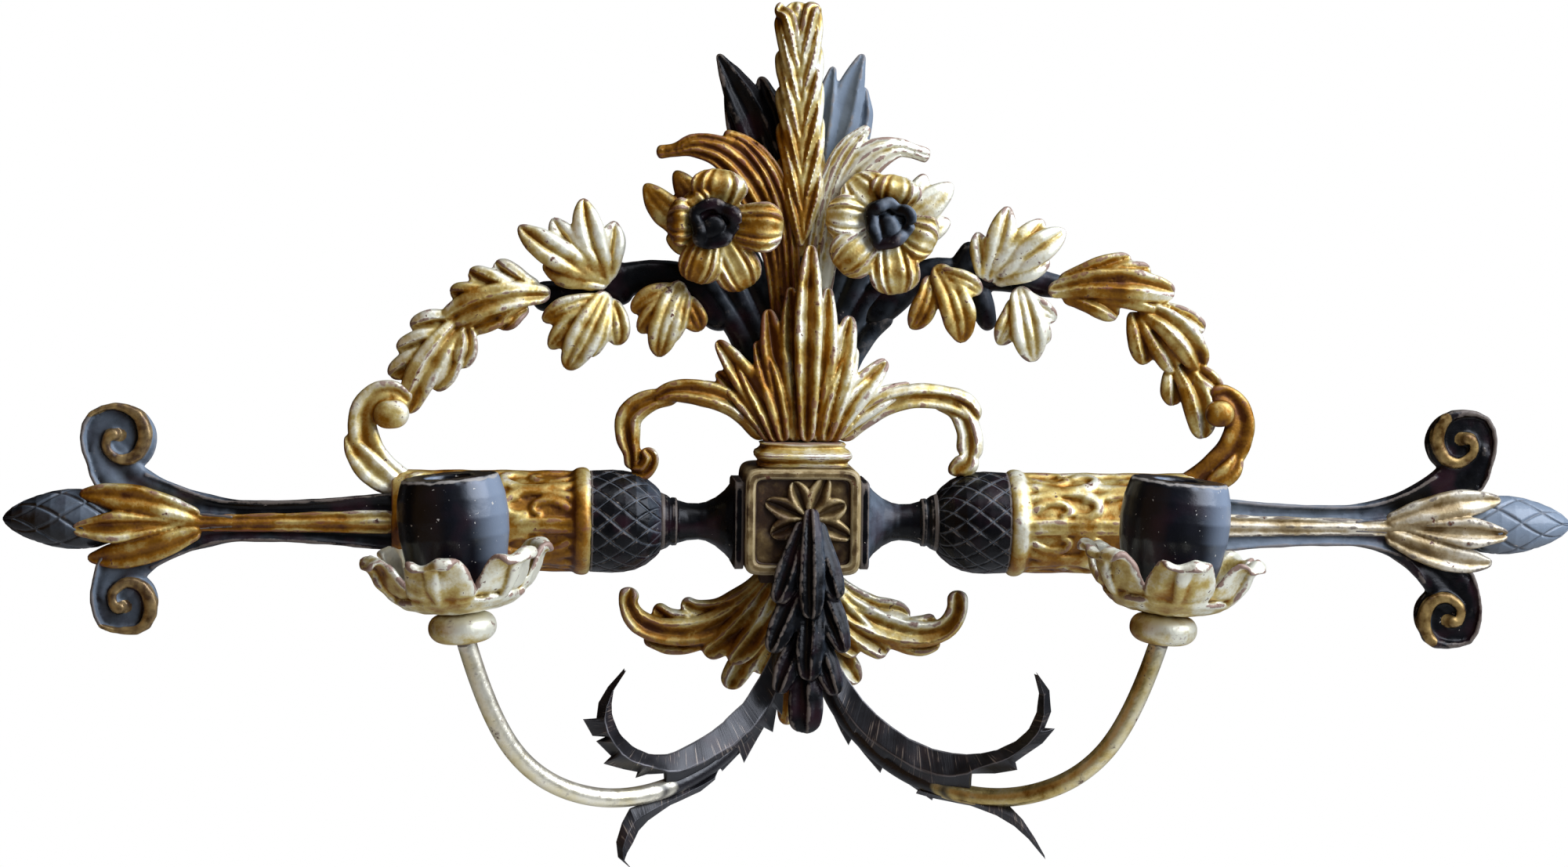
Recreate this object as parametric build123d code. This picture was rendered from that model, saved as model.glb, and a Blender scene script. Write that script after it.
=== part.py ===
"""Two-light wall sconce in carved, gilded and ebonised wood, with gilt iron arms.

Millimetres. X runs along the torch bar, Z is up, the wall is the plane Y = 0 and the sconce
stands out of it towards -Y. The origin is on the wall, on the axis of the torch bar.
Distances "from the wall" are positive numbers and become -Y.
"""
from build123d import *
import math
import os

os.makedirs("parts", exist_ok=True)

# ---------------------------------------------------------------- driving dimensions
HALF_LENGTH = 422.0        # centre line to the tip of a pine cone finial
AXIS_OUT = 29.0            # axis of the turned torch bar, from the wall

BLOCK_HALF = 31.0          # half width of the central block
BLOCK_TOP = 31.0
BLOCK_BOTTOM = -26.0
BLOCK_DEPTH = 58.0
BLOCK_EDGE = 3.0           # rounding of the block's worn edges
RECESS_DEPTH = 4.0         # sunk panel that holds the rosette
RECESS_BORDER = 7.0

FLANGE_THICK = 5.0         # square plate between block and spool
FLANGE_HALF = 23.5
SPOOL_END = 74.0           # where the spool meets the acorn
SPOOL_THROAT = 9.7
ACORN_END = 112.0
ACORN_RADIUS = 27.5
COLLAR_RADIUS = 28.8
SLEEVE_RADIUS = 26.5
SLEEVE_END = 217.0
BAR_BACK = 18.0            # flat-sided bar and its scrolls, from the wall
BAR_FRONT = 40.0
SCROLL_EYE = 6.0
PINE_START = 366.0
PINE_RADIUS = 16.0

NECK_HEIGHT = 12.0
TREE_FRONT = 16.0          # trunk, branches and black leaves lie between the wall and this
LEAF_FRONT = 29.0          # gilt leaves pinned on the front of the branches
FLOWER_FRONT = 44.0
EYE_FRONT = 51.0

CUP_X = 180.0              # foot of a candle socket
CUP_OUT = 140.0
CUP_LEAN = 5.2             # degrees, outwards
KNOP_LOW = -51.0
KNOP_TOP = -35.0
KNOP_RADIUS = 17.5
PAN_RADIUS = 47.5
PAN_TOP = -4.0
PAN_FLOOR = -29.5
PAN_SEAT = -24.0
PETALS = 6
CUP_TOP = 34.0
CUP_BELLY = 28.3
CANDLE_RADIUS = 12.0       # candle bore
CANDLE_DEPTH = 30.0
NUT_POCKET_RADIUS = 8.0
NUT_SEAT = -10.0
TUBE_RADIUS = 5.0
SPIGOT_RADIUS = 3.0
SPIGOT_TOP = -3.0
RUNNING_GAP = 0.08         # radial and end clearance of the pieces that turn on the spigot

PLATE_THICK = 4.0          # iron plate that carries both arms
HANGER_LOW = 5.0           # height of the two wall screw holes
HANGER_HIGH = 145.0
HANGER_HOLE = 3.0
HANGER_THICK = 2.0


# ---------------------------------------------------------------- shaping tools
def smooth(stations, steps=5):
    """Stations (x, z, width) joined by a Catmull-Rom curve, each span cut into steps."""
    ends = [stations[0]] + list(stations) + [stations[-1]]
    result = []
    for before, start, stop, after in zip(ends, ends[1:], ends[2:], ends[3:]):
        for step in range(steps):
            t = step / steps
            result.append(tuple(
                0.5 * (2 * b + (c - a) * t + (2 * a - 5 * b + 4 * c - d) * t * t
                       + (3 * b - a - 3 * c + d) * t ** 3)
                for a, b, c, d in zip(before, start, stop, after)))
    return result + [tuple(stations[-1])]


def band(stations, steps=5):
    """Closed outline of a band whose middle line and width pass through the stations."""
    line = smooth(stations, steps)
    left, right = [], []
    for i, (x, z, width) in enumerate(line):
        x0, z0, _ = line[max(i - 1, 0)]
        x1, z1, _ = line[min(i + 1, len(line) - 1)]
        length = math.hypot(x1 - x0, z1 - z0)
        nx, nz = (z0 - z1) / length, (x1 - x0) / length
        half = max(width, 0.0) / 2
        left.append((x + nx * half, z + nz * half))
        if half > 0.2:
            right.append((x - nx * half, z - nz * half))
    return left + right[::-1]


def lobe(x0, z0, x1, z1, width, bow=0.0):
    """Outline of one carved lobe: root, rounded tip, greatest width, sideways bow."""
    dx, dz = x1 - x0, z1 - z0
    length = math.hypot(dx, dz)
    nx, nz = -dz / length, dx / length
    stations = []
    for t, share in ((0, 0.55), (0.3, 0.85), (0.6, 1.0), (0.85, 0.72), (0.95, 0.42), (1, 0.0)):
        side = 4 * bow * t * (1 - t)
        stations.append((x0 + dx * t + nx * side, z0 + dz * t + nz * side, width * share))
    return band(stations, 2)


def slab(outline, back, front):
    """An outline in X and Z, cut from a board that lies between two distances from the wall."""
    wire = Wire.make_polygon([Vector(x, -back, z) for x, z in outline])
    return extrude(Face(wire), amount=front - back, dir=(0, -1, 0))


def joined(pieces):
    """Pieces of wood that are one carving."""
    whole = pieces[0]
    for piece in pieces[1:]:
        whole = whole + piece
    return whole


def carving(outlines, back, front):
    """One carving made of several outlines at the same depth."""
    return joined([slab(outline, back, front) for outline in outlines])


def round_boss(x, z, radius, back, front):
    """A round boss that stands out of the wall plane."""
    return Pos(x, -(back + front) / 2, z) * Rot(90, 0, 0) * Cylinder(radius, front - back)


def turned(profile):
    """A turning on the torch axis, from (x, radius) points on the right-hand side."""
    start, stop = profile[0][0], profile[-1][0]
    points = [(start, 0)] + list(profile) + [(stop, 0)]
    face = Face(Wire.make_polygon([Vector(x, r, 0) for x, r in points]))
    return Pos(0, -AXIS_OUT, 0) * revolve(face, Axis.X)


def spun(profile, low, high):
    """A turning on the Z axis, from (radius, z) points, with a low and a high centre."""
    points = [(0, low)] + list(profile) + [(0, high)]
    face = Face(Wire.make_polygon([Vector(r, 0, z) for r, z in points]))
    return revolve(face, Axis.Z)


def seated(piece, *neighbours):
    """A piece cut back so that it lies against its neighbours. Waste slivers are dropped."""
    for neighbour in neighbours:
        piece = piece - neighbour
    return max(piece.solids(), key=lambda solid: solid.volume)


def other_side(shape):
    """The same piece on the other side of the centre line."""
    return mirror(shape, about=Plane.YZ)


NODES = {}


def keep(name, shape):
    """Names a finished piece."""
    NODES[name] = shape
    return shape


# ---------------------------------------------------------------- central block and rosette
def make_block():
    """Nearly cubic block with a sunk square panel in front and two hanger pockets behind."""
    height = BLOCK_TOP - BLOCK_BOTTOM
    middle = (BLOCK_TOP + BLOCK_BOTTOM) / 2
    block = Pos(0, -BLOCK_DEPTH / 2, middle) * Box(2 * BLOCK_HALF, BLOCK_DEPTH, height)
    block = fillet(block.edges().filter_by(Axis.Y), BLOCK_EDGE)
    panel_width = 2 * (BLOCK_HALF - RECESS_BORDER)
    panel = Box(panel_width, 2 * RECESS_DEPTH, height - 2 * RECESS_BORDER)
    return block - Pos(0, -BLOCK_DEPTH, middle) * panel - hanger_recess(HANGER_LOW)


def hanger_recess(height):
    """Let-in for a hanger plate, with a deeper round pocket for the wall screw's head."""
    plate = Pos(0, -HANGER_THICK / 2, height) * Box(18, HANGER_THICK, 34)
    return plate + round_boss(0, height, 6.5, HANGER_THICK, HANGER_THICK + 8)


def make_rosette():
    """Eight carved petals around a button, glued into the sunk panel."""
    petals = []
    for index in range(8):
        angle = math.radians(22.5 + 45 * index)
        reach = 18.0
        petals.append(lobe(3, 4, 3 + reach * math.cos(angle), 4 + reach * math.sin(angle), 10))
    back = BLOCK_DEPTH - RECESS_DEPTH
    return carving(petals, back, BLOCK_DEPTH) + round_boss(3, 4, 6, back, BLOCK_DEPTH)


block = keep("block", make_block())
rosette = keep("rosette", make_rosette())


# ---------------------------------------------------------------- torch bar, both sides
def make_spool():
    """Square plate against the block and a trumpet-shaped spool, one ebonised turning."""
    near = BLOCK_HALF + FLANGE_THICK
    plate = Pos(BLOCK_HALF + FLANGE_THICK / 2, -AXIS_OUT, 0) * Box(
        FLANGE_THICK, 2 * FLANGE_HALF, 2 * FLANGE_HALF)
    trumpet = turned([(near - 1, 22), (near, 21.5), (40, 17), (45, 12.8), (50, 10.4),
                      (54, SPOOL_THROAT), (60, 10.2), (66, 12), (70, 14), (71.5, 15.5),
                      (SPOOL_END, 15.5)])
    return plate + trumpet


def make_acorn():
    """Acorn that swells from the spool to the gilt collar."""
    return turned([(SPOOL_END, 15.5), (77, 19), (82, 23.2), (88, 26), (94, 27.2),
                   (100, ACORN_RADIUS), (ACORN_END, ACORN_RADIUS - 0.5)])


def make_sleeve():
    """Collar moulding and carved sleeve in one piece."""
    return turned([(ACORN_END, 26.5), (114, 28.2), (117, COLLAR_RADIUS), (120.5, 28),
                   (123, SLEEVE_RADIUS - 0.5), (126, SLEEVE_RADIUS - 0.5), (165, SLEEVE_RADIUS),
                   (205, SLEEVE_RADIUS + 0.5), (213, SLEEVE_RADIUS), (SLEEVE_END, 24)])


def make_bar(upper, lower):
    """Flat-sided fluted bar that forks into two volutes round their eyes."""
    shaft = [(SLEEVE_END, 0, 30), (259, -0.5, 22), (298, -1, 19.5), (312, -1, 22)]
    pieces = [band(shaft)]
    upper_x, upper_z, upper_r = upper
    lower_x, lower_z, lower_r = lower
    pieces.append(band([(298, 2, 13), (322, 4, 16), (341, 10, 19), (356, 20, 23),
                        (upper_x + 3, upper_z - 11, 26)]))
    pieces.append(band([(298, -4, 13), (322, -7, 15), (339, -12, 18), (353, -23, 22),
                        (lower_x + 3, lower_z + 10, 24)]))
    bar = carving(pieces, BAR_BACK, BAR_FRONT)
    bar = bar + round_boss(upper_x, upper_z, upper_r, BAR_BACK, BAR_FRONT)
    bar = bar + round_boss(lower_x, lower_z, lower_r, BAR_BACK, BAR_FRONT)
    bar = bar + round_boss(upper_x, upper_z, SCROLL_EYE, BAR_FRONT, BAR_FRONT + 3)
    return bar + round_boss(lower_x, lower_z, SCROLL_EYE, BAR_FRONT, BAR_FRONT + 3)


def make_pine_cone():
    """Pine cone finial on the end of the torch bar."""
    return turned([(PINE_START, 12.5), (372, 14.6), (380, PINE_RADIUS), (392, 15.2),
                   (404, 12.4), (414, 8.2), (420, 3.8), (HALF_LENGTH, 1.0)])


def make_calyx():
    """Gilt rib along the bar's front that opens into three lobes round the pine cone."""
    rib = slab(band([(SLEEVE_END, 0, 9), (260, -0.5, 7), (300, -1, 6), (318, -1, 9)]),
               BAR_FRONT, BAR_FRONT + 4)
    body = carving([lobe(306, 0, 378, 11, 15, 2), lobe(306, -1, 380, -2, 15),
                    lobe(306, -2, 375, -17, 15, -2)], BAR_BACK, BAR_FRONT + 8)
    return rib + body


BAR_ENDS = {
    "left": ((361, 43, 18.5), (358, -43, 17)),
    "right": ((359, 44, 18.5), (355, -49, 18)),
}

spool = make_spool()
acorn = make_acorn()
sleeve = make_sleeve()
pine_cone = make_pine_cone()
for side, ends in BAR_ENDS.items():
    bar = seated(make_bar(*ends), pine_cone, sleeve)
    calyx = seated(make_calyx(), bar, pine_cone, sleeve)
    pieces = {"spool": spool, "acorn": acorn, "sleeve": sleeve, "bar": bar,
              "calyx": calyx, "pine_cone": pine_cone}
    for piece_name, piece in pieces.items():
        keep(side + "_" + piece_name, piece if side == "right" else other_side(piece))


# ---------------------------------------------------------------- neck ring and tree of stems
def make_neck_ring():
    """Three-step moulding on the block's top that carries the palmette."""
    step = NECK_HEIGHT / 3
    rings = []
    for level, half in enumerate((24, 25.5, 22.5)):
        width, depth = 2 * half, 2 * (half - 5)
        middle_out = TREE_FRONT + half - 5
        ring = Box(width, depth, step)
        ring = fillet(ring.edges().filter_by(Axis.Z), 8)
        rings.append(Pos(1, -middle_out, BLOCK_TOP + step * (level + 0.5)) * ring)
    return joined(rings)


def make_trunk():
    """Black stems that fan out behind the palmette, standing on the block."""
    stems = [
        band([(0, BLOCK_TOP, 30), (0, 60, 32), (0, 110, 44), (-1, 140, 26), (-1, 168, 20)]),
        band([(-4, 50, 16), (-24, 88, 26), (-44, 118, 26), (-54, 142, 16)]),
        band([(4, 50, 16), (22, 88, 24), (38, 118, 24), (46, 144, 16)]),
        band([(-12, 90, 20), (-28, 125, 22), (-38, 152, 14)]),
        band([(12, 90, 20), (24, 125, 20), (32, 152, 14)]),
    ]
    return carving(stems, 0, TREE_FRONT) - hanger_recess(HANGER_HIGH)


def make_branch(outlines, trunk):
    """Black branch that springs from the trunk's edge."""
    return seated(carving(outlines, 0, TREE_FRONT), trunk)


BRANCHES = {
    "left": [band([(-42, 112, 20), (-58, 126, 20), (-76, 131, 17), (-98, 126, 20),
                   (-120, 120, 18), (-140, 119, 17)])],
    "right": [band([(36, 112, 18), (52, 122, 18), (70, 134, 15), (92, 134, 17),
                    (116, 132, 16), (141, 126, 12)]),
              band([(96, 130, 14), (101, 116, 13), (104, 104, 9)])],
}

neck_ring = keep("neck_ring", make_neck_ring())
trunk = keep("trunk", seated(make_trunk(), block))
for side, outlines in BRANCHES.items():
    keep(side + "_branch", make_branch(outlines, trunk))


# ---------------------------------------------------------------- palmette and tendrils
PALMETTE = [
    band([(1, BLOCK_TOP + NECK_HEIGHT, 46), (1, 52, 50), (1, 66, 58), (1, 76, 44)]),
    lobe(2, 50, 3, 148, 26),
    lobe(-4, 50, -6, 124, 24),
    lobe(7, 50, 14, 124, 24),
    lobe(-6, 48, -17, 112, 20, 3),
    lobe(8, 48, 25, 108, 20, -3),
    lobe(-8, 48, -43, 94, 22, 5),
    lobe(10, 48, 43, 87, 22, -5),
    lobe(-8, 46, -52, 74, 20, 5),
    lobe(10, 46, 56, 73, 20, -5),
]
TENDRILS = {
    "left": [(-20, 52, 12), (-38, 66, 15), (-56, 69, 13), (-73, 67, 9), (-85, 63, 11),
             (-91, 53, 11), (-91, 40, 12), (-89, 26, 13)],
    "right": [(22, 52, 12), (42, 65, 14), (60, 67, 12), (78, 67, 11), (90, 62, 12),
              (93, 50, 12), (92, 38, 12), (92, 26, 14)],
}


def make_tendril(side, palmette):
    """Gilt tendril that springs from the palmette and comes down on the acorn."""
    curl = slab(band(TENDRILS[side]), 22, 36)
    return seated(curl, palmette, NODES[side + "_acorn"], neck_ring)


palmette = keep("palmette", seated(carving(PALMETTE, TREE_FRONT, 42), neck_ring))
for side in TENDRILS:
    keep(side + "_tendril", make_tendril(side, palmette))


# ---------------------------------------------------------------- wheat ear and tall leaves
WHEAT = band([(-1, 146, 9), (0, 156, 15), (0, 179, 20), (-1, 213, 24), (-2, 232, 22),
              (-3, 254, 18), (-4, 270, 12), (-4, 279, 0)])
BACK_LEAVES = {
    "left": [band([(-4, 160, 12), (-12, 180, 15), (-22, 206, 19), (-31, 226, 20),
                   (-38, 238, 13), (-44, 248, 0)]),
             lobe(-14, 196, -20, 236, 13)],
    "right": [band([(3, 160, 12), (10, 180, 15), (20, 206, 20), (26, 226, 21),
                    (29, 240, 13), (33, 249, 0)]),
              lobe(10, 196, 13, 243, 12)],
}
CURL_LEAVES = {
    "left": [band([(-10, 114, 11), (-13, 140, 13), (-17, 168, 15), (-24, 184, 22),
                   (-38, 196, 20), (-54, 201, 15), (-68, 199, 9), (-76, 195, 0)])],
    "right": [band([(10, 114, 10), (13, 140, 11), (15, 168, 14), (20, 186, 20),
                    (32, 197, 20), (46, 201, 14), (58, 200, 9), (66, 196, 0)])],
}

wheat_ear = keep("wheat_ear", seated(slab(WHEAT, TREE_FRONT, 34), palmette))
curl_leaves = {}
for side in ("left", "right"):
    black_leaf = carving(BACK_LEAVES[side], 5, TREE_FRONT)
    keep(side + "_back_leaf", seated(black_leaf, trunk))
    curl_leaf = carving(CURL_LEAVES[side], TREE_FRONT, LEAF_FRONT)
    keep(side + "_curl_leaf", seated(curl_leaf, wheat_ear, palmette))
NODES["right_back_leaf"] = seated(NODES["right_back_leaf"], NODES["left_back_leaf"])


# ---------------------------------------------------------------- flowers
FLOWERS = {"left": (-48, 160), "right": (43, 159)}
FLOWER_LEAVES = {
    "left": [lobe(-46, 150, -82, 179, 18, 4), lobe(-44, 152, -66, 182, 16), lobe(-46, 146, -74, 154, 16)],
    "right": [lobe(40, 150, 68, 184, 16, -3), lobe(40, 150, 82, 181, 18), lobe(42, 146, 80, 162, 16)],
}


def make_flower(x, z):
    """Six-petalled flower whose petals lap round a flat centre."""
    petals = []
    for index in range(6):
        angle = math.radians(20 + 60 * index)
        petals.append(lobe(x, z, x + 27 * math.cos(angle), z + 26 * math.sin(angle), 21))
    return carving(petals, LEAF_FRONT, FLOWER_FRONT)


for side, (flower_x, flower_z) in FLOWERS.items():
    flower_leaf = carving(FLOWER_LEAVES[side], TREE_FRONT, LEAF_FRONT)
    keep(side + "_flower_leaf", seated(flower_leaf, NODES[side + "_curl_leaf"]))
    flower = make_flower(flower_x, flower_z)
    keep(side + "_flower", seated(flower, wheat_ear))
    eye = round_boss(flower_x, flower_z, 9, FLOWER_FRONT, EYE_FRONT)
    keep(side + "_flower_eye", eye)


# ---------------------------------------------------------------- leaves on the branches
TOP_LEAVES = {
    "left": [lobe(-104, 128, -118, 171, 24), lobe(-106, 130, -99, 162, 18),
             lobe(-110, 128, -150, 157, 20, 3), lobe(-112, 126, -136, 132, 16),
             lobe(-110, 128, -132, 161, 18)],
    "right": [lobe(104, 130, 110, 170, 20), lobe(106, 130, 94, 156, 14),
              lobe(108, 132, 129, 163, 18), lobe(108, 132, 141, 158, 18), lobe(108, 134, 132, 139, 14)],
}
DROP_LEAVES = {
    "left": [lobe(-104, 120, -125, 81, 24), lobe(-106, 118, -137, 105, 16, -2),
             lobe(-106, 112, -133, 92, 16), lobe(-104, 116, -97, 94, 16)],
    "right": [lobe(118, 126, 126, 87, 22), lobe(118, 122, 137, 108, 14), lobe(118, 118, 108, 95, 15),
              lobe(112, 126, 102, 108, 14)],
}
INNER_LEAVES = {
    "left": [lobe(-66, 128, -74, 88, 20), lobe(-66, 124, -90, 112, 16), lobe(-68, 116, -84, 99, 14),
             lobe(-66, 118, -55, 100, 15)],
    "right": [lobe(74, 136, 87, 97, 20), lobe(74, 132, 97, 122, 17), lobe(74, 132, 60, 104, 18)],
}
SWAGS = {
    "left": [lobe(-134, 120, -190, 106, 26, -7), lobe(-142, 122, -161, 139, 16),
             lobe(-152, 122, -175, 133, 16), lobe(-152, 112, -174, 101, 14),
             lobe(-178, 110, -210, 56, 28, -4), lobe(-180, 104, -208, 103, 18),
             lobe(-184, 98, -214, 92, 18), lobe(-184, 92, -219, 76, 16)],
    "right": [lobe(134, 124, 201, 126, 26, 5), lobe(142, 128, 176, 144, 16),
              lobe(144, 122, 168, 111, 16), lobe(178, 120, 218, 84, 26, 5),
              lobe(182, 112, 184, 88, 16), lobe(196, 116, 219, 103, 14),
              lobe(208, 92, 219, 47, 18, 3), lobe(206, 84, 202, 62, 14), lobe(212, 88, 227, 70, 14)],
}
BRACKETS = {
    "left": [(-211, 20, 14), (-224, 27, 17), (-233, 39, 14), (-234, 52, 13), (-228, 63, 11),
             (-220, 65, 8)],
    "right": [(211, 22, 12), (226, 27, 15), (236, 40, 13), (238, 54, 13), (233, 66, 12),
              (227, 69, 9)],
}
BRACKET_BALLS = {"left": (-219, 56), "right": (230, 61)}


def make_bracket(side):
    """C-scroll that rises from the sleeve's end and holds the last leaf of the swag."""
    ball_x, ball_z = BRACKET_BALLS[side]
    scroll = slab(band(BRACKETS[side]), 18, 38) + round_boss(ball_x, ball_z, 8, 18, 38)
    return seated(scroll, NODES[side + "_sleeve"], NODES[side + "_bar"], NODES[side + "_calyx"])


for side in ("left", "right"):
    bracket = keep(side + "_bracket", make_bracket(side))
    flower_leaf = NODES[side + "_flower_leaf"]
    top_leaf = keep(side + "_top_leaf", carving(TOP_LEAVES[side], TREE_FRONT, LEAF_FRONT))
    drop_leaf = carving(DROP_LEAVES[side], TREE_FRONT, LEAF_FRONT)
    drop_leaf = keep(side + "_drop_leaf", seated(drop_leaf, top_leaf))
    inner_leaf = carving(INNER_LEAVES[side], TREE_FRONT, LEAF_FRONT)
    inner_leaf = seated(inner_leaf, flower_leaf, top_leaf, palmette)
    keep(side + "_inner_leaf", inner_leaf)
    swag = carving(SWAGS[side], TREE_FRONT, LEAF_FRONT)
    keep(side + "_swag", seated(swag, bracket, drop_leaf, top_leaf, NODES[side + "_sleeve"]))


# ---------------------------------------------------------------- sprays under the block
UNDER_SPRAYS = {
    "left": [band([(-12, BLOCK_BOTTOM, 22), (-26, -46, 26), (-46, -56, 24), (-68, -58, 18),
                   (-84, -53, 14), (-89, -42, 13), (-85, -33, 8)]),
             lobe(-40, -52, -80, -68, 14), lobe(-20, -40, -50, -74, 18), lobe(-14, -40, -37, -91, 20),
             lobe(-10, -36, -18, -84, 16)],
    "right": [band([(12, BLOCK_BOTTOM, 20), (24, -46, 22), (42, -56, 22), (62, -59, 18),
                    (80, -56, 13), (85, -46, 12), (84, -35, 9)]),
              lobe(36, -54, 76, -69, 14), lobe(20, -42, 46, -73, 18), lobe(14, -40, 33, -88, 18)],
}
SPRAY_BACK, SPRAY_FRONT = 12, 30

drop = slab(lobe(0, BLOCK_BOTTOM, -2, -112, 14), SPRAY_BACK, SPRAY_FRONT)
under_drop = keep("under_drop", seated(drop, block))
for side, outlines in UNDER_SPRAYS.items():
    spray = carving(outlines, SPRAY_BACK, SPRAY_FRONT)
    keep(side + "_under_spray", seated(spray, block, under_drop))


# ---------------------------------------------------------------- husk
HUSK = [
    lobe(4, 10, 3, -108, 20),
    lobe(2, 4, -14, -38, 17, -2), lobe(5, 4, 18, -36, 17, 2),
    lobe(1, -24, -17, -64, 18, -2), lobe(5, -24, 22, -64, 18, 2),
    lobe(1, -50, -13, -86, 16, -2), lobe(5, -50, 18, -87, 16, 2),
]
husk = keep("husk", carving(HUSK, BLOCK_DEPTH, BLOCK_DEPTH + 15))


# ---------------------------------------------------------------- iron plate and arms
def lean(shape):
    """Places a socket piece, made upright on the Z axis, at the end of the right-hand arm."""
    return Pos(CUP_X, -CUP_OUT, KNOP_TOP) * Rot(0, CUP_LEAN, 0) * Pos(0, 0, -KNOP_TOP) * shape


def arm_path():
    """Straight runs joined by tangent arcs, from the plate out to the knop."""
    corners = [Vector(6, -44, BLOCK_BOTTOM - PLATE_THICK / 2), Vector(7, -45, -62),
               Vector(20, -50, -100), Vector(52, -74, -130), Vector(98, -98, -141),
               Vector(140, -120, -126), Vector(166, -134, -90), Vector(178, -139.5, -48)]
    radii = []
    for before, corner, after in zip(corners, corners[1:], corners[2:]):
        run = min((corner - before).length, (after - corner).length)
        turn = math.radians((corner - before).get_angle(after - corner))
        radii.append(0.45 * run / math.tan(turn / 2))
    print("arm bend radii", [round(radius) for radius in radii])
    return FilletPolyline(*corners, radius=radii)


def tube_along(path, radius):
    """A round bar along a path."""
    return sweep(Plane(path @ 0, z_dir=path % 0) * Circle(radius), path=path)


def make_arm():
    """Iron tube with a solid spigot at its end for the pan, the cup and their nut."""
    spigot = Pos(0, 0, (SPIGOT_TOP + KNOP_LOW) / 2) * Cylinder(
        SPIGOT_RADIUS, SPIGOT_TOP - KNOP_LOW)
    plug = Pos(0, 0, KNOP_LOW + 3) * Sphere(TUBE_RADIUS)
    return tube_along(arm_path(), TUBE_RADIUS) + lean(plug + spigot)


def make_arm_plate():
    """Plate screwed under the block; both arms are brazed into it."""
    return Pos(0, -45, BLOCK_BOTTOM - PLATE_THICK / 2) * Box(44, 20, PLATE_THICK)


TOLE_UPPER = [(46, -117, 8), (62, -123, 12), (82, -123, 14), (97, -115, 14), (106, -100, 12),
              (104, -85, 7), (94, -70, 0)]
TOLE_LOWER = [(46, -131, 7), (62, -139, 8), (80, -147, 9), (92, -160, 8), (93, -175, 0)]
TOLE_TURN = 29.0           # the sheet follows the arm, which comes forward as it goes out
TOLE_THICK = 3.0


def make_tole_leaf(arm):
    """Sheet iron wrapped on the arm, with one prong curling up and one curling down."""
    path = arm_path().edges()
    wrap_path = arm_path().trim(0.16, 0.5)
    wrap = tube_along(wrap_path, TUBE_RADIUS + 1.6)
    prongs = []
    stretch = 1 / math.cos(math.radians(TOLE_TURN))
    for stations in (TOLE_UPPER, TOLE_LOWER):
        flat = [(x * stretch, z, width) for x, z, width in stations]
        prongs.append(slab(band(flat), 0, TOLE_THICK))
    blades = Pos(0, -49, 0) * Rot(0, 0, -TOLE_TURN) * joined(prongs)
    return seated(wrap + blades, arm)


def make_knop():
    """Flattened gilt ball that hides the arm's end."""
    ball = spun([(9, KNOP_LOW), (14, -49.2), (16.6, -46), (KNOP_RADIUS, -43), (16.8, -39.5),
                 (14.5, -36.5), (11, KNOP_TOP)], KNOP_LOW, KNOP_TOP)
    return lean(ball)


def make_pan():
    """Drip pan of thick curled petals with a seat for the cup."""
    low = KNOP_TOP + RUNNING_GAP
    dish = spun([(12, low), (20, -33.6), (30, -30), (39, -23), (45, -13.5), (PAN_RADIUS, PAN_TOP),
                 (43.5, PAN_TOP), (40.5, -12), (35, -20), (27, -26), (19, PAN_FLOOR),
                 (15, PAN_FLOOR), (15, PAN_SEAT)], low, PAN_SEAT)
    dish = dish - Pos(0, 0, -30) * Cylinder(SPIGOT_RADIUS + RUNNING_GAP, 40)
    for index in range(PETALS):
        notch = Rot(0, 0, 30 + 360 / PETALS * index) * Pos(PAN_RADIUS + 4, 0, PAN_TOP)
        dish = dish - notch * Cylinder(9, 24)
    return lean(dish)


def make_cup():
    """Turned barrel cup with the candle bore, a nut pocket under it and a spigot hole."""
    low = PAN_SEAT + RUNNING_GAP
    barrel = spun([(20.5, low), (22.5, -20), (25.8, -8), (27.8, 4), (CUP_BELLY, 14),
                   (27.4, 24), (25.2, 32), (24, CUP_TOP)], low, CUP_TOP)
    candle_floor = CUP_TOP - CANDLE_DEPTH
    barrel = barrel - Pos(0, 0, CUP_TOP - CANDLE_DEPTH / 2) * Cylinder(CANDLE_RADIUS, CANDLE_DEPTH)
    pocket_height = candle_floor - NUT_SEAT
    barrel = barrel - Pos(0, 0, (candle_floor + NUT_SEAT) / 2) * Cylinder(
        NUT_POCKET_RADIUS, pocket_height)
    return lean(barrel - Pos(0, 0, -20) * Cylinder(SPIGOT_RADIUS + RUNNING_GAP, 40))


def make_socket_nut():
    """Hexagon nut that holds cup and pan down on the spigot."""
    height = 5.0
    nut = extrude(RegularPolygon(5.8, 6), amount=height) - Pos(0, 0, height / 2) * Cylinder(
        SPIGOT_RADIUS, height)
    return lean(Pos(0, 0, NUT_SEAT + RUNNING_GAP) * nut)


arm = make_arm()
keep("arm_plate", seated(make_arm_plate(), arm, other_side(arm)))
right_pieces = {"arm": arm, "tole_leaf": make_tole_leaf(arm), "knop": seated(make_knop(), arm),
                "pan": make_pan(), "cup": make_cup()}
for piece_name, piece in right_pieces.items():
    keep("right_" + piece_name, piece)
    keep("left_" + piece_name, other_side(piece))
nut = make_socket_nut()
keep("socket_nuts", Compound(children=[nut, other_side(nut)]))


# ---------------------------------------------------------------- iron hardware behind
def make_hanger(height):
    """Small iron plate let into the back, with the hole that takes the wall screw."""
    plate = Pos(0, -HANGER_THICK / 2, height) * Box(18, HANGER_THICK, 34)
    return plate - round_boss(0, height, HANGER_HOLE, -1, HANGER_THICK + 1)


def make_screw():
    """Countersunk wood screw, head up on the XY plane."""
    head = spun([(1.5, -2), (3, 0)], -2, 0)
    return head + Pos(0, 0, -6) * Cylinder(1.5, 11)


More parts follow.
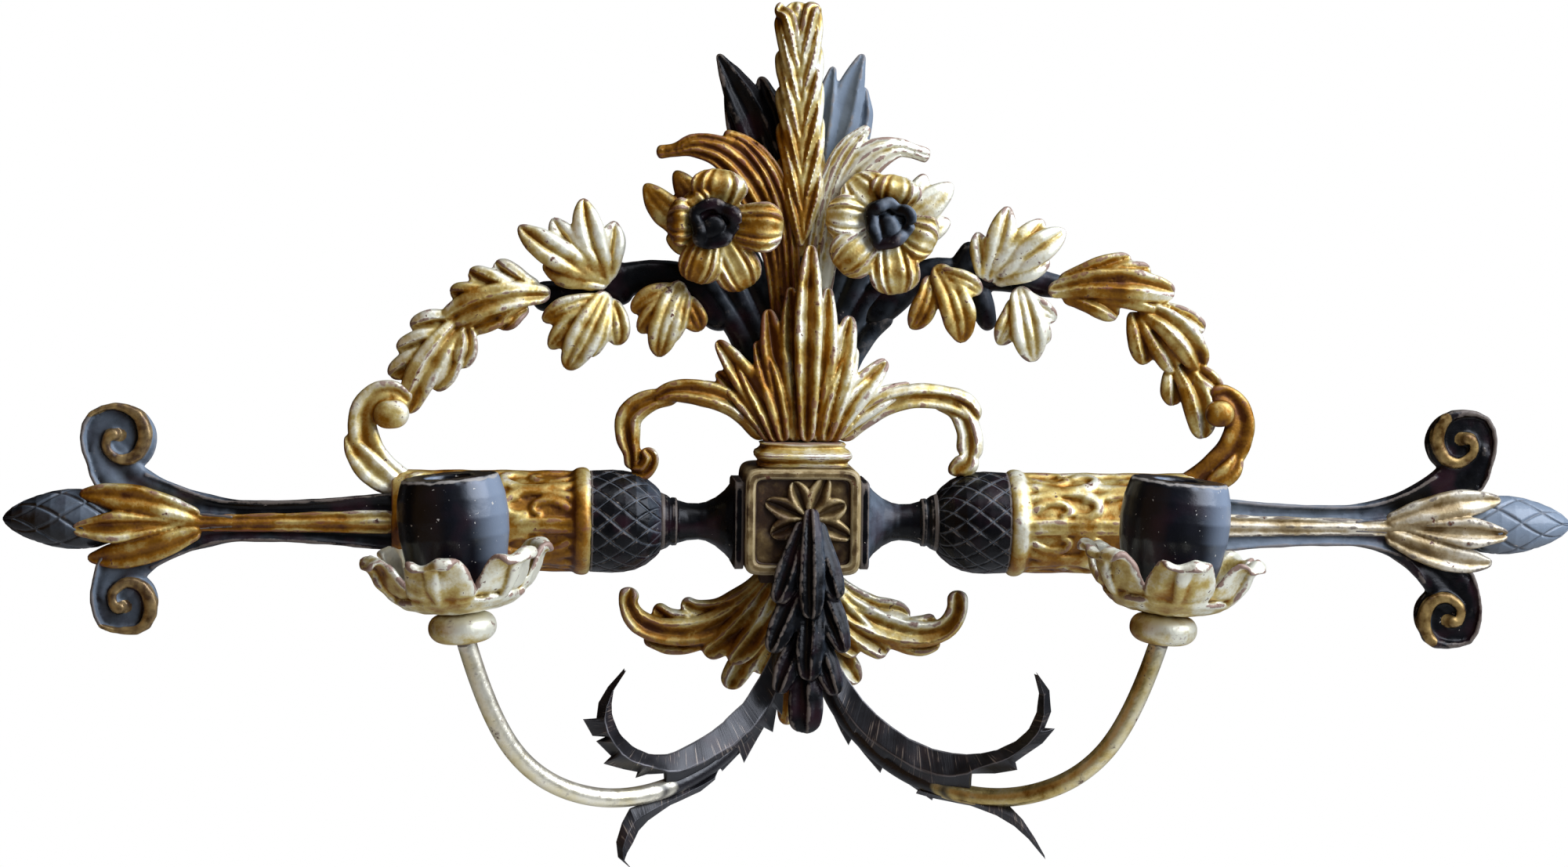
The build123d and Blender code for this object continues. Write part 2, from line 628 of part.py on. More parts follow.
screws = []
for height in (HANGER_LOW, HANGER_HIGH):
    for step in (-12.5, 12.5):
        screws.append(Pos(0, 0, height + step) * Rot(-90, 0, 0) * make_screw())
for across in (-17, 17):
    screws.append(Pos(across, -45, BLOCK_BOTTOM - PLATE_THICK) * Rot(180, 0, 0) * make_screw())
hangers = [make_hanger(HANGER_LOW), make_hanger(HANGER_HIGH)]
keep("hanger_plates", Compound(children=hangers))
keep("wood_screws", Compound(children=screws))

for node_name, shape in NODES.items():
    export_step(shape, "parts/" + node_name + ".step")
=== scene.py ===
"""Two-light wall sconce: carved, gilded and ebonised wood with iron arms, dressed for a still picture.

Shapes are worked out in millimetres as arrays of (x, z, out): x along the torch bar, z up, and out the
distance from the wall. They become metres, with out turned into -Y, when a mesh is made.
"""
import bpy
import numpy as np
from mathutils import Matrix


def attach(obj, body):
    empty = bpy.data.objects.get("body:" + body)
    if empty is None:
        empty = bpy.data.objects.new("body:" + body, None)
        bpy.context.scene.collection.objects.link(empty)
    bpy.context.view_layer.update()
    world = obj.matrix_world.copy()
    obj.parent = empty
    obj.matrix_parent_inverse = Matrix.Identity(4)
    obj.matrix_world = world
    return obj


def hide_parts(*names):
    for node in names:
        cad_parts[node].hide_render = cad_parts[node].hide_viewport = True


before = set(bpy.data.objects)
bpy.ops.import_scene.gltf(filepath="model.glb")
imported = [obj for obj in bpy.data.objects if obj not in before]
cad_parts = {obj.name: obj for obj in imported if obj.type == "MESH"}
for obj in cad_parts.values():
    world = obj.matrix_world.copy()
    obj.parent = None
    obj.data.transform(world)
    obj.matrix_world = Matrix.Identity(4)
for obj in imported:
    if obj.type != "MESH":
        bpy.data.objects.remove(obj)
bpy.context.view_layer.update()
MM = 0.001


# ---------------------------------------------------------------- camera, floor and studio light
# A long lens two metres away, a little to the left and above. The sconce hangs in front of a white
# studio wall: a large cool soft box stands on the right, and a weak warm reflector on the left.
def paint(code):
    """sRGB hex colour as linear red, green, blue and alpha."""
    srgb = np.array([int(code[i:i + 2], 16) / 255 for i in (1, 3, 5)])
    linear = np.where(srgb <= 0.04045, srgb / 12.92, ((srgb + 0.055) / 1.055) ** 2.4)
    return (*linear, 1.0)


def add(tree, kind, inputs=None, stops=None, out=0, **settings):
    """Adds one node and returns its output number 'out'. Inputs are values, or sockets to link; stops
    are a ramp's places and colours."""
    node = tree.nodes.new(kind)
    for name, value in settings.items():
        setattr(node, name, value)
    for name, value in (inputs or {}).items():
        if isinstance(value, bpy.types.NodeSocket):
            tree.links.new(value, node.inputs[name])
        else:
            node.inputs[name].default_value = value
    for index, (place, colour) in enumerate(stops or []):
        ramp = node.color_ramp.elements
        stop = ramp[index] if index < 2 else ramp.new(place)
        stop.position = place
        stop.color = colour
    return node.outputs[out] if node.outputs else None


def turn(azimuth, elevation, roll):
    """Camera axes (right, up, back) for a view from that azimuth and elevation, in degrees."""
    a, e, r = np.radians([azimuth, elevation, roll])
    back = np.array([np.sin(a) * np.cos(e), -np.cos(a) * np.cos(e), np.sin(e)])
    right = np.cross([0, 0, 1], back)
    right /= np.linalg.norm(right)
    up = np.cross(back, right)
    return right * np.cos(r) + up * np.sin(r), up * np.cos(r) - right * np.sin(r), back


def aim(thing, place, axes):
    """Puts a camera or lamp at a place, with those right, up and back axes."""
    rows = np.column_stack([*axes, place])
    thing.matrix_world = Matrix([*rows.tolist(), (0, 0, 0, 1)])
    bpy.context.scene.collection.objects.link(thing)


scene = bpy.context.scene
camera = bpy.data.objects.new("camera", bpy.data.cameras.new("camera"))
camera.data.lens = 90.9
camera.data.sensor_width = 36.0
view = turn(-4.5, 4.5, 0.70)
aim(camera, np.array([-0.0062, 0.0, 0.0453]) + 2.15 * view[2], view)
scene.camera = camera
scene.view_settings.view_transform = "Standard"

for lamp_name, azimuth, elevation, distance, width, height, watts, colour in (
        ("key", 58, 32, 2.2, 1.9, 1.9, 88, "#eaf1ff"),
        ("top", 20, 68, 2.0, 1.6, 0.8, 10, "#f2f5ff"),
        ("fill", -55, 8, 2.4, 2.8, 2.8, 5, "#ffc27a")):
    lamp = bpy.data.lights.new(lamp_name, "AREA")
    lamp.shape = "RECTANGLE"
    lamp.size = width
    lamp.size_y = height
    lamp.energy = watts
    lamp.color = paint(colour)[:3]
    lamp_object = bpy.data.objects.new(lamp_name, lamp)
    lamp_axes = turn(azimuth, elevation, 0)
    aim(lamp_object, distance * lamp_axes[2], lamp_axes)
    lamp_object.visible_camera = False

# The studio round the object: white to the camera, and as a light bright on the right, dim on the left.
world = bpy.data.worlds.new("studio")
scene.world = world
world.use_nodes = True
sky = world.node_tree
sky.nodes.clear()
direction = add(sky, "ShaderNodeTexCoord")
side = add(sky, "ShaderNodeVectorMath", {0: direction, 1: (0.80, -0.25, 0.55)}, out=1,
           operation="DOT_PRODUCT")
side = add(sky, "ShaderNodeMapRange", {"Value": side, "From Min": -1.0, "From Max": 1.0})
walls = add(sky, "ShaderNodeValToRGB", {"Fac": side}, [
    (0.0, paint("#1c130a")), (1.0, paint("#eef3ff")), (0.42, paint("#4a3a28")), (0.7, paint("#98a2b0"))])
glow = add(sky, "ShaderNodeBackground", {"Color": walls, "Strength": 0.32})
white = add(sky, "ShaderNodeBackground", {"Color": (1, 1, 1, 1), "Strength": 1.0})
seen = add(sky, "ShaderNodeLightPath")
add(sky, "ShaderNodeOutputWorld", {"Surface": add(sky, "ShaderNodeMixShader", {0: seen, 1: glow, 2: white})})

FLOOR = -1.4
floor_mesh = bpy.data.meshes.new("floor")
floor_mesh.from_pydata([(-4, -4, FLOOR), (4, -4, FLOOR), (4, 4, FLOOR), (-4, 4, FLOOR)], [], [(0, 1, 2, 3)])
floor = bpy.data.objects.new("floor", floor_mesh)
scene.collection.objects.link(floor)
floor.visible_camera = False
floor_paint = bpy.data.materials.new("pale_studio_floor")
floor_paint.use_nodes = True
floor_paint.node_tree.nodes["Principled BSDF"].inputs["Base Color"].default_value = paint("#f4f4f2")
floor_mesh.materials.append(floor_paint)


# ---------------------------------------------------------------- central block
# A near cube of limewood with a sunk square panel in its face and a hanger pocket let in behind.
# It is gessoed, gilded with a bronzed, toned leaf, and rubbed pale along its edges by handling.
def skin(rings):
    """Closed surface through rings (rows, points, 3): quads join each ring to the next, and both ends
    draw together to a pole at the middle of the last ring."""
    rows, around = rings.shape[:2]
    here = np.arange(around)
    after = (here + 1) % around
    row = np.arange(rows - 1)[:, None] * around
    quads = np.stack([row + here, row + after, row + around + after, row + around + here], -1)
    last = (rows - 1) * around
    fans = [np.stack([after, here, 0 * here + rows * around], -1),
            np.stack([last + here, last + after, 0 * here + rows * around + 1], -1)]
    points = np.concatenate([rings.reshape(-1, 3), rings[[0, -1]].mean(axis=1)])
    return points, quads.reshape(-1, 4), np.concatenate(fans)


def make_mesh(name, surfaces):
    """One mesh from closed surfaces. The signed volume, a third of each triangle's corner triple
    product added up, tells whether a surface is inside out, and then its faces are reversed."""
    points, loops, totals, first = [], [], [], 0
    for surface, quads, triangles in surfaces:
        xyz = np.stack([surface[:, 0], -surface[:, 2], surface[:, 1]], -1) * MM
        centred = xyz - xyz.mean(0)
        corners = np.concatenate([quads[:, :3], quads[:, [0, 2, 3]], triangles])
        a, b, c = centred[corners].transpose(1, 0, 2)
        if np.einsum("ij,ij", a, np.cross(b, c)) < 0:
            quads, triangles = quads[:, ::-1], triangles[:, ::-1]
        points.append(xyz)
        loops += [(quads + first).ravel(), (triangles + first).ravel()]
        totals += [np.full(len(quads), 4), np.full(len(triangles), 3)]
        first += len(xyz)
    points, loops, totals = np.concatenate(points), np.concatenate(loops), np.concatenate(totals)
    mesh = bpy.data.meshes.new(name)
    mesh.vertices.add(len(points))
    mesh.vertices.foreach_set("co", points.ravel().astype(np.float32))
    mesh.loops.add(len(loops))
    mesh.loops.foreach_set("vertex_index", loops.astype(np.int32))
    mesh.polygons.add(len(totals))
    mesh.polygons.foreach_set("loop_start", (np.cumsum(totals) - totals).astype(np.int32))
    mesh.polygons.foreach_set("loop_total", totals.astype(np.int32))
    mesh.update(calc_edges=True)
    return mesh


def read(mesh):
    """Vertices of a mesh as (x, z, out) in millimetres."""
    xyz = np.empty(3 * len(mesh.vertices), np.float32)
    mesh.vertices.foreach_get("co", xyz)
    xyz = xyz.reshape(-1, 3).astype(float) / MM
    return np.stack([xyz[:, 0], xyz[:, 2], -xyz[:, 1]], -1)


def write(mesh, points):
    """Puts (x, z, out) points in millimetres back into a mesh."""
    xyz = np.stack([points[:, 0], -points[:, 2], points[:, 1]], -1) * MM
    mesh.vertices.foreach_set("co", xyz.ravel().astype(np.float32))
    mesh.update()


def soften(mesh, points, rounds):
    """Each round moves every vertex half way to the mean of its neighbours along the edges."""
    ends = np.empty(2 * len(mesh.edges), np.int32)
    mesh.edges.foreach_get("vertices", ends)
    a, b = ends.reshape(-1, 2).T
    one, other = np.concatenate([a, b]), np.concatenate([b, a])
    share = np.maximum(np.bincount(one, minlength=len(points)), 1)[:, None]
    for _ in range(rounds):
        mean = np.stack([np.bincount(one, points[other, k], len(points)) for k in range(3)], -1) / share
        points = 0.5 * (points + mean)
    return points


def mark(mesh, name, values):
    """Writes one number per vertex as an attribute that a material can read."""
    attribute = mesh.attributes.get(name) or mesh.attributes.new(name, "FLOAT", "POINT")
    attribute.data.foreach_set("value", np.asarray(values, np.float32))


def weather(mesh, fine=3, broad=26):
    """Marks where hands rub, and where dirt and painted shade sit: a vertex's height over its softened
    surroundings, along its normal. 'edge' looks at about a millimetre, 'hollow' at a few, both 0 on flat
    ground. The last mark tells how far a surface faces up and right, towards the key light: materials
    paint light and shade into the colour from it."""
    points = read(mesh)
    normals = np.empty(3 * len(points), np.float32)
    mesh.vertices.foreach_get("normal", normals)
    n = normals.reshape(-1, 3)
    n = np.stack([n[:, 0], n[:, 2], -n[:, 1]], -1)
    near = soften(mesh, points, fine)
    far = soften(mesh, near, broad)
    mark(mesh, "edge", np.einsum("ij,ij->i", points - near, n) / 0.12)
    mark(mesh, "hollow", np.einsum("ij,ij->i", points - far, n) / 0.9)
    mark(mesh, "back", np.clip((-n[:, 2] - 0.55) * 4, 0, 1))
    # Painted light: how far a surface faces the key light, up and right, so that it can be painted paler
    # there.
    mark(mesh, "painted_light", n @ np.array([0.82, 0.38, 0.30]))
    mesh.polygons.foreach_set("use_smooth", np.ones(len(mesh.polygons), bool))


def wander(points, size, length):
    """Slow unevenness of hand work: three crossed sine waves of that wavelength, times size."""
    k = 2 * np.pi / length
    x, z, out = points[..., 0] * k, points[..., 1] * k, points[..., 2] * k
    return size * (np.sin(x + 1.7 * np.sin(0.6 * z)) * np.sin(0.8 * z + 0.9 * np.sin(0.7 * out + 1))
                   + 0.5 * np.sin(1.9 * out + 1.3 * x + 2) * np.sin(1.6 * z - 1.1 * x))


def even(profile, spacing):
    """Places about that far apart along a line of points, its own corners among them."""
    line = np.array(profile, float)
    parts = [np.linspace(a, b, max(int(np.linalg.norm(b - a) / spacing), 1), endpoint=False)
             for a, b in zip(line[:-1], line[1:])]
    return np.concatenate(parts + [line[-1:]])


def squared(half_a, half_b, power, count):
    """Rounded square about the origin: in direction t its radius is (|cos t / a|^p + |sin t / b|^p)
    to the power -1/p, a circle at power 2 and nearly a square at 14."""
    t = np.arange(count) * 2 * np.pi / count
    c, s = np.cos(t), np.sin(t)
    a, b, p = (np.asarray(v, float)[..., None] for v in (half_a, half_b, power))
    radius = (np.abs(c / a) ** p + np.abs(s / b) ** p) ** (-1 / p)
    return radius * c, radius * s


def place_piece(name, mesh, material, node, body="root", extra_painted_light=0.0):
    """Puts a finished mesh in the scene in its CAD node's stead, riding on its body. The last argument
    is painted light: how much paler, or darker, the piece is painted than the way it faces would give."""
    # Painted light: the piece's own shift is added to the mark of how it faces the key light.
    painted_light_so_far = np.empty(len(mesh.vertices), np.float32)
    mesh.attributes["painted_light"].data.foreach_get("value", painted_light_so_far)
    mark(mesh, "painted_light", painted_light_so_far + extra_painted_light)
    mesh.name = name
    mesh.materials.clear()
    mesh.materials.append(material)
    piece = bpy.data.objects.new(name, mesh)
    scene.collection.objects.link(piece)
    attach(piece, body)
    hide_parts(node)
    return piece


def weigh(tree, value, factor, base):
    """value * factor + base."""
    return add(tree, "ShaderNodeMath", {0: value, 1: factor, 2: base}, operation="MULTIPLY_ADD")


def fade_in(tree, value, start, full, most=1.0):
    """0 as far as start, 'most' from full on, and a smooth S between them."""
    return add(tree, "ShaderNodeMapRange", {"Value": value, "From Min": start, "From Max": full,
                                            "To Max": most}, interpolation_type="SMOOTHSTEP")


def cover(tree, share, ground, colour):
    """The ground's colour with that share of another laid over it."""
    return add(tree, "ShaderNodeMix", {0: share, 6: ground, 7: colour}, out=2, data_type="RGBA")


def clouds(tree, where, size, detail):
    """Noise with clouds about that many millimetres across."""
    return add(tree, "ShaderNodeTexNoise", {"Vector": where, "Scale": 1 / (size * MM), "Detail": detail})


def marked(tree, name):
    """The numbers that a mesh carries under that name, one to a vertex."""
    return add(tree, "ShaderNodeAttribute", out=2, attribute_name=name)


def begin(name):
    """A new material with its tree, its shader, the Object coordinates, and the marks for weathering and for
    painted light and shade.
    """
    material = bpy.data.materials.new(name)
    material.use_nodes = True
    tree = material.node_tree
    marks = [marked(tree, mark_name) for mark_name in ("edge", "hollow", "back", "painted_light")]
    return material, tree, tree.nodes["Principled BSDF"], add(tree, "ShaderNodeTexCoord", out=3), *marks


PINE_BACK = paint("#8a6a44")


def gilded(name, tones, bole, metal, roughness):
    """Leaf over bole on carved wood. The ramp 'tones' goes from the leaf in the hollows to the leaf on
    the crests: painted shade makes it darker in the hollows, painted light paler where a surface faces the
    key light, and soft clouds of 24 and 6 mm vary it. Umber dirt and painted shade lie in the deepest
    cuts, the bole shows in rubbed patches along the sharp edges and as chips of a millimetre or two, and
    backs are bare."""
    material, tree, shader, where, edge, hollow, back, painted_light = begin(name)
    cloud = clouds(tree, where, 24, 2.0)
    patch = clouds(tree, where, 6, 5.0)
    speck = clouds(tree, where, 1.6, 3.0)
    # Painted shade: the leaf is darker in the hollows and paler on the crests.
    tone = weigh(tree, hollow, 0.22, cloud)
    tone = weigh(tree, patch, 0.3, tone)
    # Painted light: the leaf is paler where a surface faces the key light, darker where it faces away.
    tone = weigh(tree, painted_light, 0.26, tone)
    tone = weigh(tree, speck, 0.24, tone)
    tone = add(tree, "ShaderNodeMath", {0: tone, 1: -0.12})
    leaf_colour = add(tree, "ShaderNodeValToRGB", {"Fac": tone}, tones)
    # Umber dirt and painted shade in the deepest cuts.
    dirt_and_shade = weigh(tree, patch, 0.8, hollow)
    dirt_and_shade = fade_in(tree, dirt_and_shade, 0.0, -0.9, 0.85)
    leaf_colour = cover(tree, dirt_and_shade, leaf_colour, paint("#3a230c"))
    rub = weigh(tree, patch, 2.4, edge)
    rub = weigh(tree, speck, 0.8, rub)
    rub = fade_in(tree, rub, 2.3, 2.8, 0.8)
    leaf_colour = cover(tree, rub, leaf_colour, bole)
    chips = weigh(tree, speck, 0.6, patch)
    chips = fade_in(tree, chips, 1.01, 1.06)
    leaf_colour = cover(tree, chips, leaf_colour, paint("#5a301a"))
    leaf_colour = cover(tree, back, leaf_colour, PINE_BACK)
    tree.links.new(leaf_colour, shader.inputs["Base Color"])
    worn = add(tree, "ShaderNodeMath", {0: rub, 1: back}, operation="MAXIMUM")
    worn = add(tree, "ShaderNodeMath", {0: worn, 1: chips}, operation="MAXIMUM")
    shine = add(tree, "ShaderNodeMapRange", {"Value": worn, "To Min": metal, "To Max": 0.0})
    tree.links.new(shine, shader.inputs["Metallic"])
    dull = add(tree, "ShaderNodeMapRange", {"Value": patch, "From Min": 0.3, "From Max": 0.7,
                                            "To Min": roughness - 0.06, "To Max": roughness + 0.10})
    tree.links.new(dull, shader.inputs["Roughness"])
    gesso = weigh(tree, speck, 0.35, patch)
    bump = add(tree, "ShaderNodeBump", {"Height": gesso, "Distance": 0.35 * MM, "Strength": 1.0})
    tree.links.new(bump, shader.inputs["Normal"])
    return material


# Toned bronze gilding, brushed over gesso: olive brown, hardly bright, painted dark red-brown as shade
# where the panel is sunk, and straw-pale on every rubbed edge.
bronzed = gilded("toned_bronze_gilding", [
    (0.30, paint("#1d1009")), (1.0, paint("#a08a5c")), (0.58, paint("#3d2815")), (0.80, paint("#6a5430"))],
    paint("#a5936c"), 0.35, 0.42)

BLOCK_MIDDLE = 2.5
HANGER_LOW, HANGER_HIGH = 5.0, 145.0
block_profile = even([      # half width, half height, height of the middle, out, squareness
    (6.3, 6.3, HANGER_LOW, 10, 2), (6.3, 6.3, HANGER_LOW, 2, 2), (9.1, 17.1, HANGER_LOW, 2, 12),
    (9.1, 17.1, HANGER_LOW, 0.2, 12), (29, 26.5, BLOCK_MIDDLE, 0.2, 10), (31, 28.5, BLOCK_MIDDLE, 2, 10),
    (31, 28.5, BLOCK_MIDDLE, 55, 10), (30.4, 27.9, BLOCK_MIDDLE, 57.2, 10),
    (28.8, 26.3, BLOCK_MIDDLE, 58.2, 11), (26.4, 23.9, BLOCK_MIDDLE, 57.9, 14),
    (25.4, 22.9, BLOCK_MIDDLE, 57, 14), (25, 22.5, BLOCK_MIDDLE, 54, 14),
    (3, 3, BLOCK_MIDDLE, 53.6, 4)], 0.9)
half_x, half_z, middle, out, power = block_profile.T
ring_x, ring_z = squared(half_x, half_z, power, 200)
block_rings = np.stack([ring_x, ring_z + middle[:, None], out[:, None] + 0 * ring_x], -1)
block_rings[:, :, 2] += wander(block_rings, 0.35, 21) * (out[:, None] > 20)
block_mesh = make_mesh("block", [skin(block_rings)])
weather(block_mesh)
place_piece("block_bronzed", block_mesh, bronzed, "block", extra_painted_light=-0.3)


# ---------------------------------------------------------------- rosette
# Eight pointed leaves round a button, carved in one piece and glued into the sunk panel. Their
# raised rims are rubbed to bare straw-coloured gesso, and their hollows are painted dark red-brown as shade.
def curve(stations, at):
    """Catmull-Rom curve through the stations, read at shares of its length from 0 to 1."""
    p = np.array(stations, float)
    p = np.vstack([2 * p[0] - p[1], p, 2 * p[-1] - p[-2]])
    t = np.linspace(0, 1, 24, endpoint=False)[None, :, None]
    a, b, c, d = (p[i:len(p) - 3 + i, None, :] for i in range(4))
    line = 0.5 * (2 * b + (c - a) * t + (2 * a - 5 * b + 4 * c - d) * t ** 2
                  + (3 * b - a - 3 * c + d) * t ** 3)
    line = np.vstack([line.reshape(-1, p.shape[1]), p[-2]])
    length = np.concatenate([[0], np.cumsum(np.linalg.norm(np.diff(line[:, :3], axis=0), axis=1))])
    return np.stack([np.interp(at * length[-1], length, column) for column in line.T], -1), length[-1]


def stroke(stations, rise, under=5.0, hollow=0.0, vein=0.0, vein_at=0.0, flutes=0, roll=0.0, hollow_at=0.0,
           blunt=1.0):
    """One carved lobe, band or strand. Its centre line runs through stations (x, z, out, half width),
    and both ends are rounded off like a quarter circle. Across it, q = cos v goes from edge to edge:
    the front stands rise * sin(v)^0.5 proud, less a hollow along the middle, plus a vein, cut into
    flutes; the back lies 'under' behind it and is a little narrower."""
    share = 0.5 - 0.5 * np.cos(np.linspace(0, np.pi, 46))
    line, length = curve(stations, share)
    centre, half = line[:, :3], np.maximum(line[:, 3], 0.15)
    along = np.gradient(centre, axis=0)
    along /= np.maximum(np.linalg.norm(along, axis=1, keepdims=True), 1e-9)
    across = np.stack([-along[:, 1], along[:, 0], 0 * half], -1)
    across /= np.maximum(np.linalg.norm(across, axis=1, keepdims=True), 1e-9)
    proud = np.cross(along, across)
    across, proud = (across * np.cos(roll) + proud * np.sin(roll),
                     proud * np.cos(roll) - across * np.sin(roll))
    left = np.minimum(share * length, (1 - share) * length) / np.maximum(half * blunt, 0.6)
    cap = np.sqrt(np.clip(1 - (1 - np.minimum(left, 1)) ** 2, 0.004, 1))
    width = half * cap
    body = (width / width.max()) ** 0.6
    v = np.arange(34) * 2 * np.pi / 34
    q, s = np.cos(v), np.sin(v)
    crown = np.maximum(s, 0) ** 0.5
    shape = 1 - hollow * np.exp(-((q - hollow_at) / 0.42) ** 2) + vein * np.exp(-((q - vein_at) / 0.14) ** 2)
    if flutes:
        shape = shape * (0.72 + 0.28 * np.cos(np.pi * flutes * (q + 1)))
    front = rise * crown * shape
    behind = under * np.maximum(-s, 0) ** 0.45
    lateral = q * (1 - 0.22 * np.maximum(-s, 0))
    return (centre[:, None] + across[:, None] * (width[:, None] * lateral)[..., None]
            + proud[:, None] * (body[:, None] * (front - behind))[..., None])


def leaf(x0, z0, x1, z1, width, bow=0.0, low=21.0, high=24.0, arch=4.0, rise=5.0, tip=0.26, **style):
    """One lobe from its root to its tip, given like the CAD lobe: greatest width at 0.6 of its length,
    a sideways bow, and its height from the wall going from low to high over an arch. tip is the share
    of the width that is left at its end."""
    t = np.array([0, 0.3, 0.6, 0.82, 1.0])
    spread = np.array([0.50, 0.84, 1.0, 0.78 + 0.3 * (tip - 0.26), tip]) * width / 2
    dx, dz = x1 - x0, z1 - z0
    length = np.hypot(dx, dz)
    side_step = 4 * bow * t * (1 - t)
    stations = np.stack([x0 + dx * t - dz / length * side_step, z0 + dz * t + dx / length * side_step,
                         low + (high - low) * t + 4 * arch * t * (1 - t), spread], -1)
    return stroke(stations, rise, **style)


def carve(name, surfaces, voxel=0.8, rounds=1, rough=0.2):
    """One carving: its surfaces are fused by a voxel remesh, softened as by sandpaper, and made
    slightly uneven as by hand."""
    mesh = make_mesh(name, [rings if isinstance(rings, tuple) else skin(rings) for rings in surfaces])
    block_out = bpy.data.objects.new("block_out", mesh)
    scene.collection.objects.link(block_out)
    remesh = block_out.modifiers.new("fuse", "REMESH")
    remesh.mode = "VOXEL"
    remesh.voxel_size = voxel * MM * 1.0
    carved = bpy.data.meshes.new_from_object(block_out.evaluated_get(bpy.context.evaluated_depsgraph_get()))
    bpy.data.objects.remove(block_out)
    bpy.data.meshes.remove(mesh)
    points = soften(carved, read(carved), rounds)
    normals = np.empty(3 * len(points), np.float32)
    carved.vertices.foreach_get("normal", normals)
    n = normals.reshape(-1, 3)
    n = np.stack([n[:, 0], n[:, 2], -n[:, 1]], -1)
    points += n * (wander(points, rough, 26)[:, None] + 0.2)
    write(carved, points)
    weather(carved)
    return carved


ROSETTE_X, ROSETTE_Z, ROSETTE_LOBES = 3.0, 4.0, 8
rosette_petals = []
for index in range(ROSETTE_LOBES):
    angle = np.radians(360 / ROSETTE_LOBES * (index + 0.5))
    c, s = np.cos(angle), np.sin(angle)
    reach = 24.5 if index % 2 else 21.5
    petal = [(ROSETTE_X + c * r, ROSETTE_Z + s * r, height, half) for r, height, half in (
        (3, 54.4, 2.4), (9, 54.6, 5.2), (15, 54.6, 6.0), (reach, 54.2, 3.0))]
    rosette_petals.append(stroke(petal, 4.0, under=2.5, hollow=1.5, blunt=0.8))
rosette_petals.append(stroke([(0, ROSETTE_Z, 56, 4.5), (6, ROSETTE_Z, 56, 4.5)], 2.6, under=3))
place_piece("rosette_carved", carve("rosette", rosette_petals, 0.6, 1, 0.1), bronzed,
            "rosette")


# ---------------------------------------------------------------- spools and acorns of the torch bar
# Ebonised turnings on each side of the block: a square plate and trumpet spool, then an acorn with a
# lattice cut by hand with a V tool. The black is thin and rubbed, so brown wood and grey ground show.
def revolve(profile, count, spacing=1.0):
    """Turning on the torch axis: (x, radius, squareness) places, with rounded squares as sections."""
    x, radius, power = even(profile, spacing).T
    a, b = squared(radius, radius, power, count)
    return np.stack([x[:, None] + 0 * a, b, AXIS_OUT + a], -1)


def mirrored(rings):
    """The same rings on the left of the centre line."""
    return rings * np.array([-1.0, 1.0, 1.0])


SIDES = (("left", mirrored), ("right", lambda rings: rings))


def lattice(rings, start, pitch, lines, depth, twist):
    """Two families of slanting lines on a turning, 'lines' to the turn, each with the given x pitch.
    Returns 1 on a line's middle and 0 between the lines, and moves the points in by depth there."""
    angle = np.arctan2(rings[..., 1], rings[..., 2] - AXIS_OUT)
    along = (rings[..., 0] - start) / pitch
    groove = np.zeros(angle.shape)
    for slant in (1, -1):
        phase = (lines * angle / (2 * np.pi) + slant * along + twist) % 1.0
        distance = np.abs(phase - 0.5)
        groove = np.maximum(groove, np.exp(-(distance / 0.06) ** 2))
    centre = np.stack([rings[..., 0], 0 * angle, AXIS_OUT + 0 * angle], -1)
    return groove, rings + (centre - rings) * (depth * groove / np.maximum(
        np.linalg.norm(rings - centre, axis=-1), 1))[..., None]


def ebonised(name, line_colour, specular):
    """Black-stained, shellacked wood: near black with a broad cool sheen painted into the colour where a
    surface faces the key light, purple-brown in soft patches of 18 mm, grey-brown on rubbed edges, with a
    few pale flecks. Where 'cut' is 1, a V tool has bared the ground."""
    material, tree, shader, where, edge, hollow, back, painted_light = begin(name)
    cloud = clouds(tree, where, 18, 2.0)
    patch = clouds(tree, where, 6, 3.0)
    speck = clouds(tree, where, 1.3, 2.0)
    colour = add(tree, "ShaderNodeValToRGB", {"Fac": cloud}, [
        (0.36, paint("#040405")), (0.68, paint("#251319")), (0.52, paint("#09090c"))])
    # Painted sheen: cool grey-blue laid into the colour where a surface faces the key light.
    painted_sheen = weigh(tree, patch, 0.5, painted_light)
    painted_sheen = fade_in(tree, painted_sheen, 0.70, 1.9, 0.9)
    colour = cover(tree, painted_sheen, colour, paint("#7b8794"))
    cut = marked(tree, "cut")
    cut = weigh(tree, patch, 1.0, cut)
    cut = fade_in(tree, cut, 0.85, 1.5, 0.7)
    colour = cover(tree, cut, colour, line_colour)
    rub = weigh(tree, patch, 2.4, edge)
    rub = weigh(tree, speck, 0.8, rub)
    rub = fade_in(tree, rub, 2.2, 3.0, 0.5)
    colour = cover(tree, rub, colour, paint("#8b7f74"))
    fleck = weigh(tree, speck, 0.8, patch)
    fleck = add(tree, "ShaderNodeMapRange", {"Value": fleck, "From Min": 1.22, "From Max": 1.26})
    colour = cover(tree, fleck, colour, paint("#b9aea2"))
    colour = cover(tree, back, colour, PINE_BACK)
    tree.links.new(colour, shader.inputs["Base Color"])
    dull = add(tree, "ShaderNodeMapRange", {"Value": patch, "From Min": 0.3, "From Max": 0.7,
                                            "To Min": 0.24, "To Max": 0.38})
    tree.links.new(dull, shader.inputs["Roughness"])
    shader.inputs["Specular IOR Level"].default_value = specular
    grain = add(tree, "ShaderNodeMapping", {"Vector": where, "Scale": (0.3, 1.0, 1.0)})
    grain = clouds(tree, grain, 1.5, 2.0)
    grain = weigh(tree, grain, 0.25, patch)
    bump = add(tree, "ShaderNodeBump", {"Height": grain, "Distance": 0.30 * MM, "Strength": 1.0})
    tree.links.new(bump, shader.inputs["Normal"])
    return material


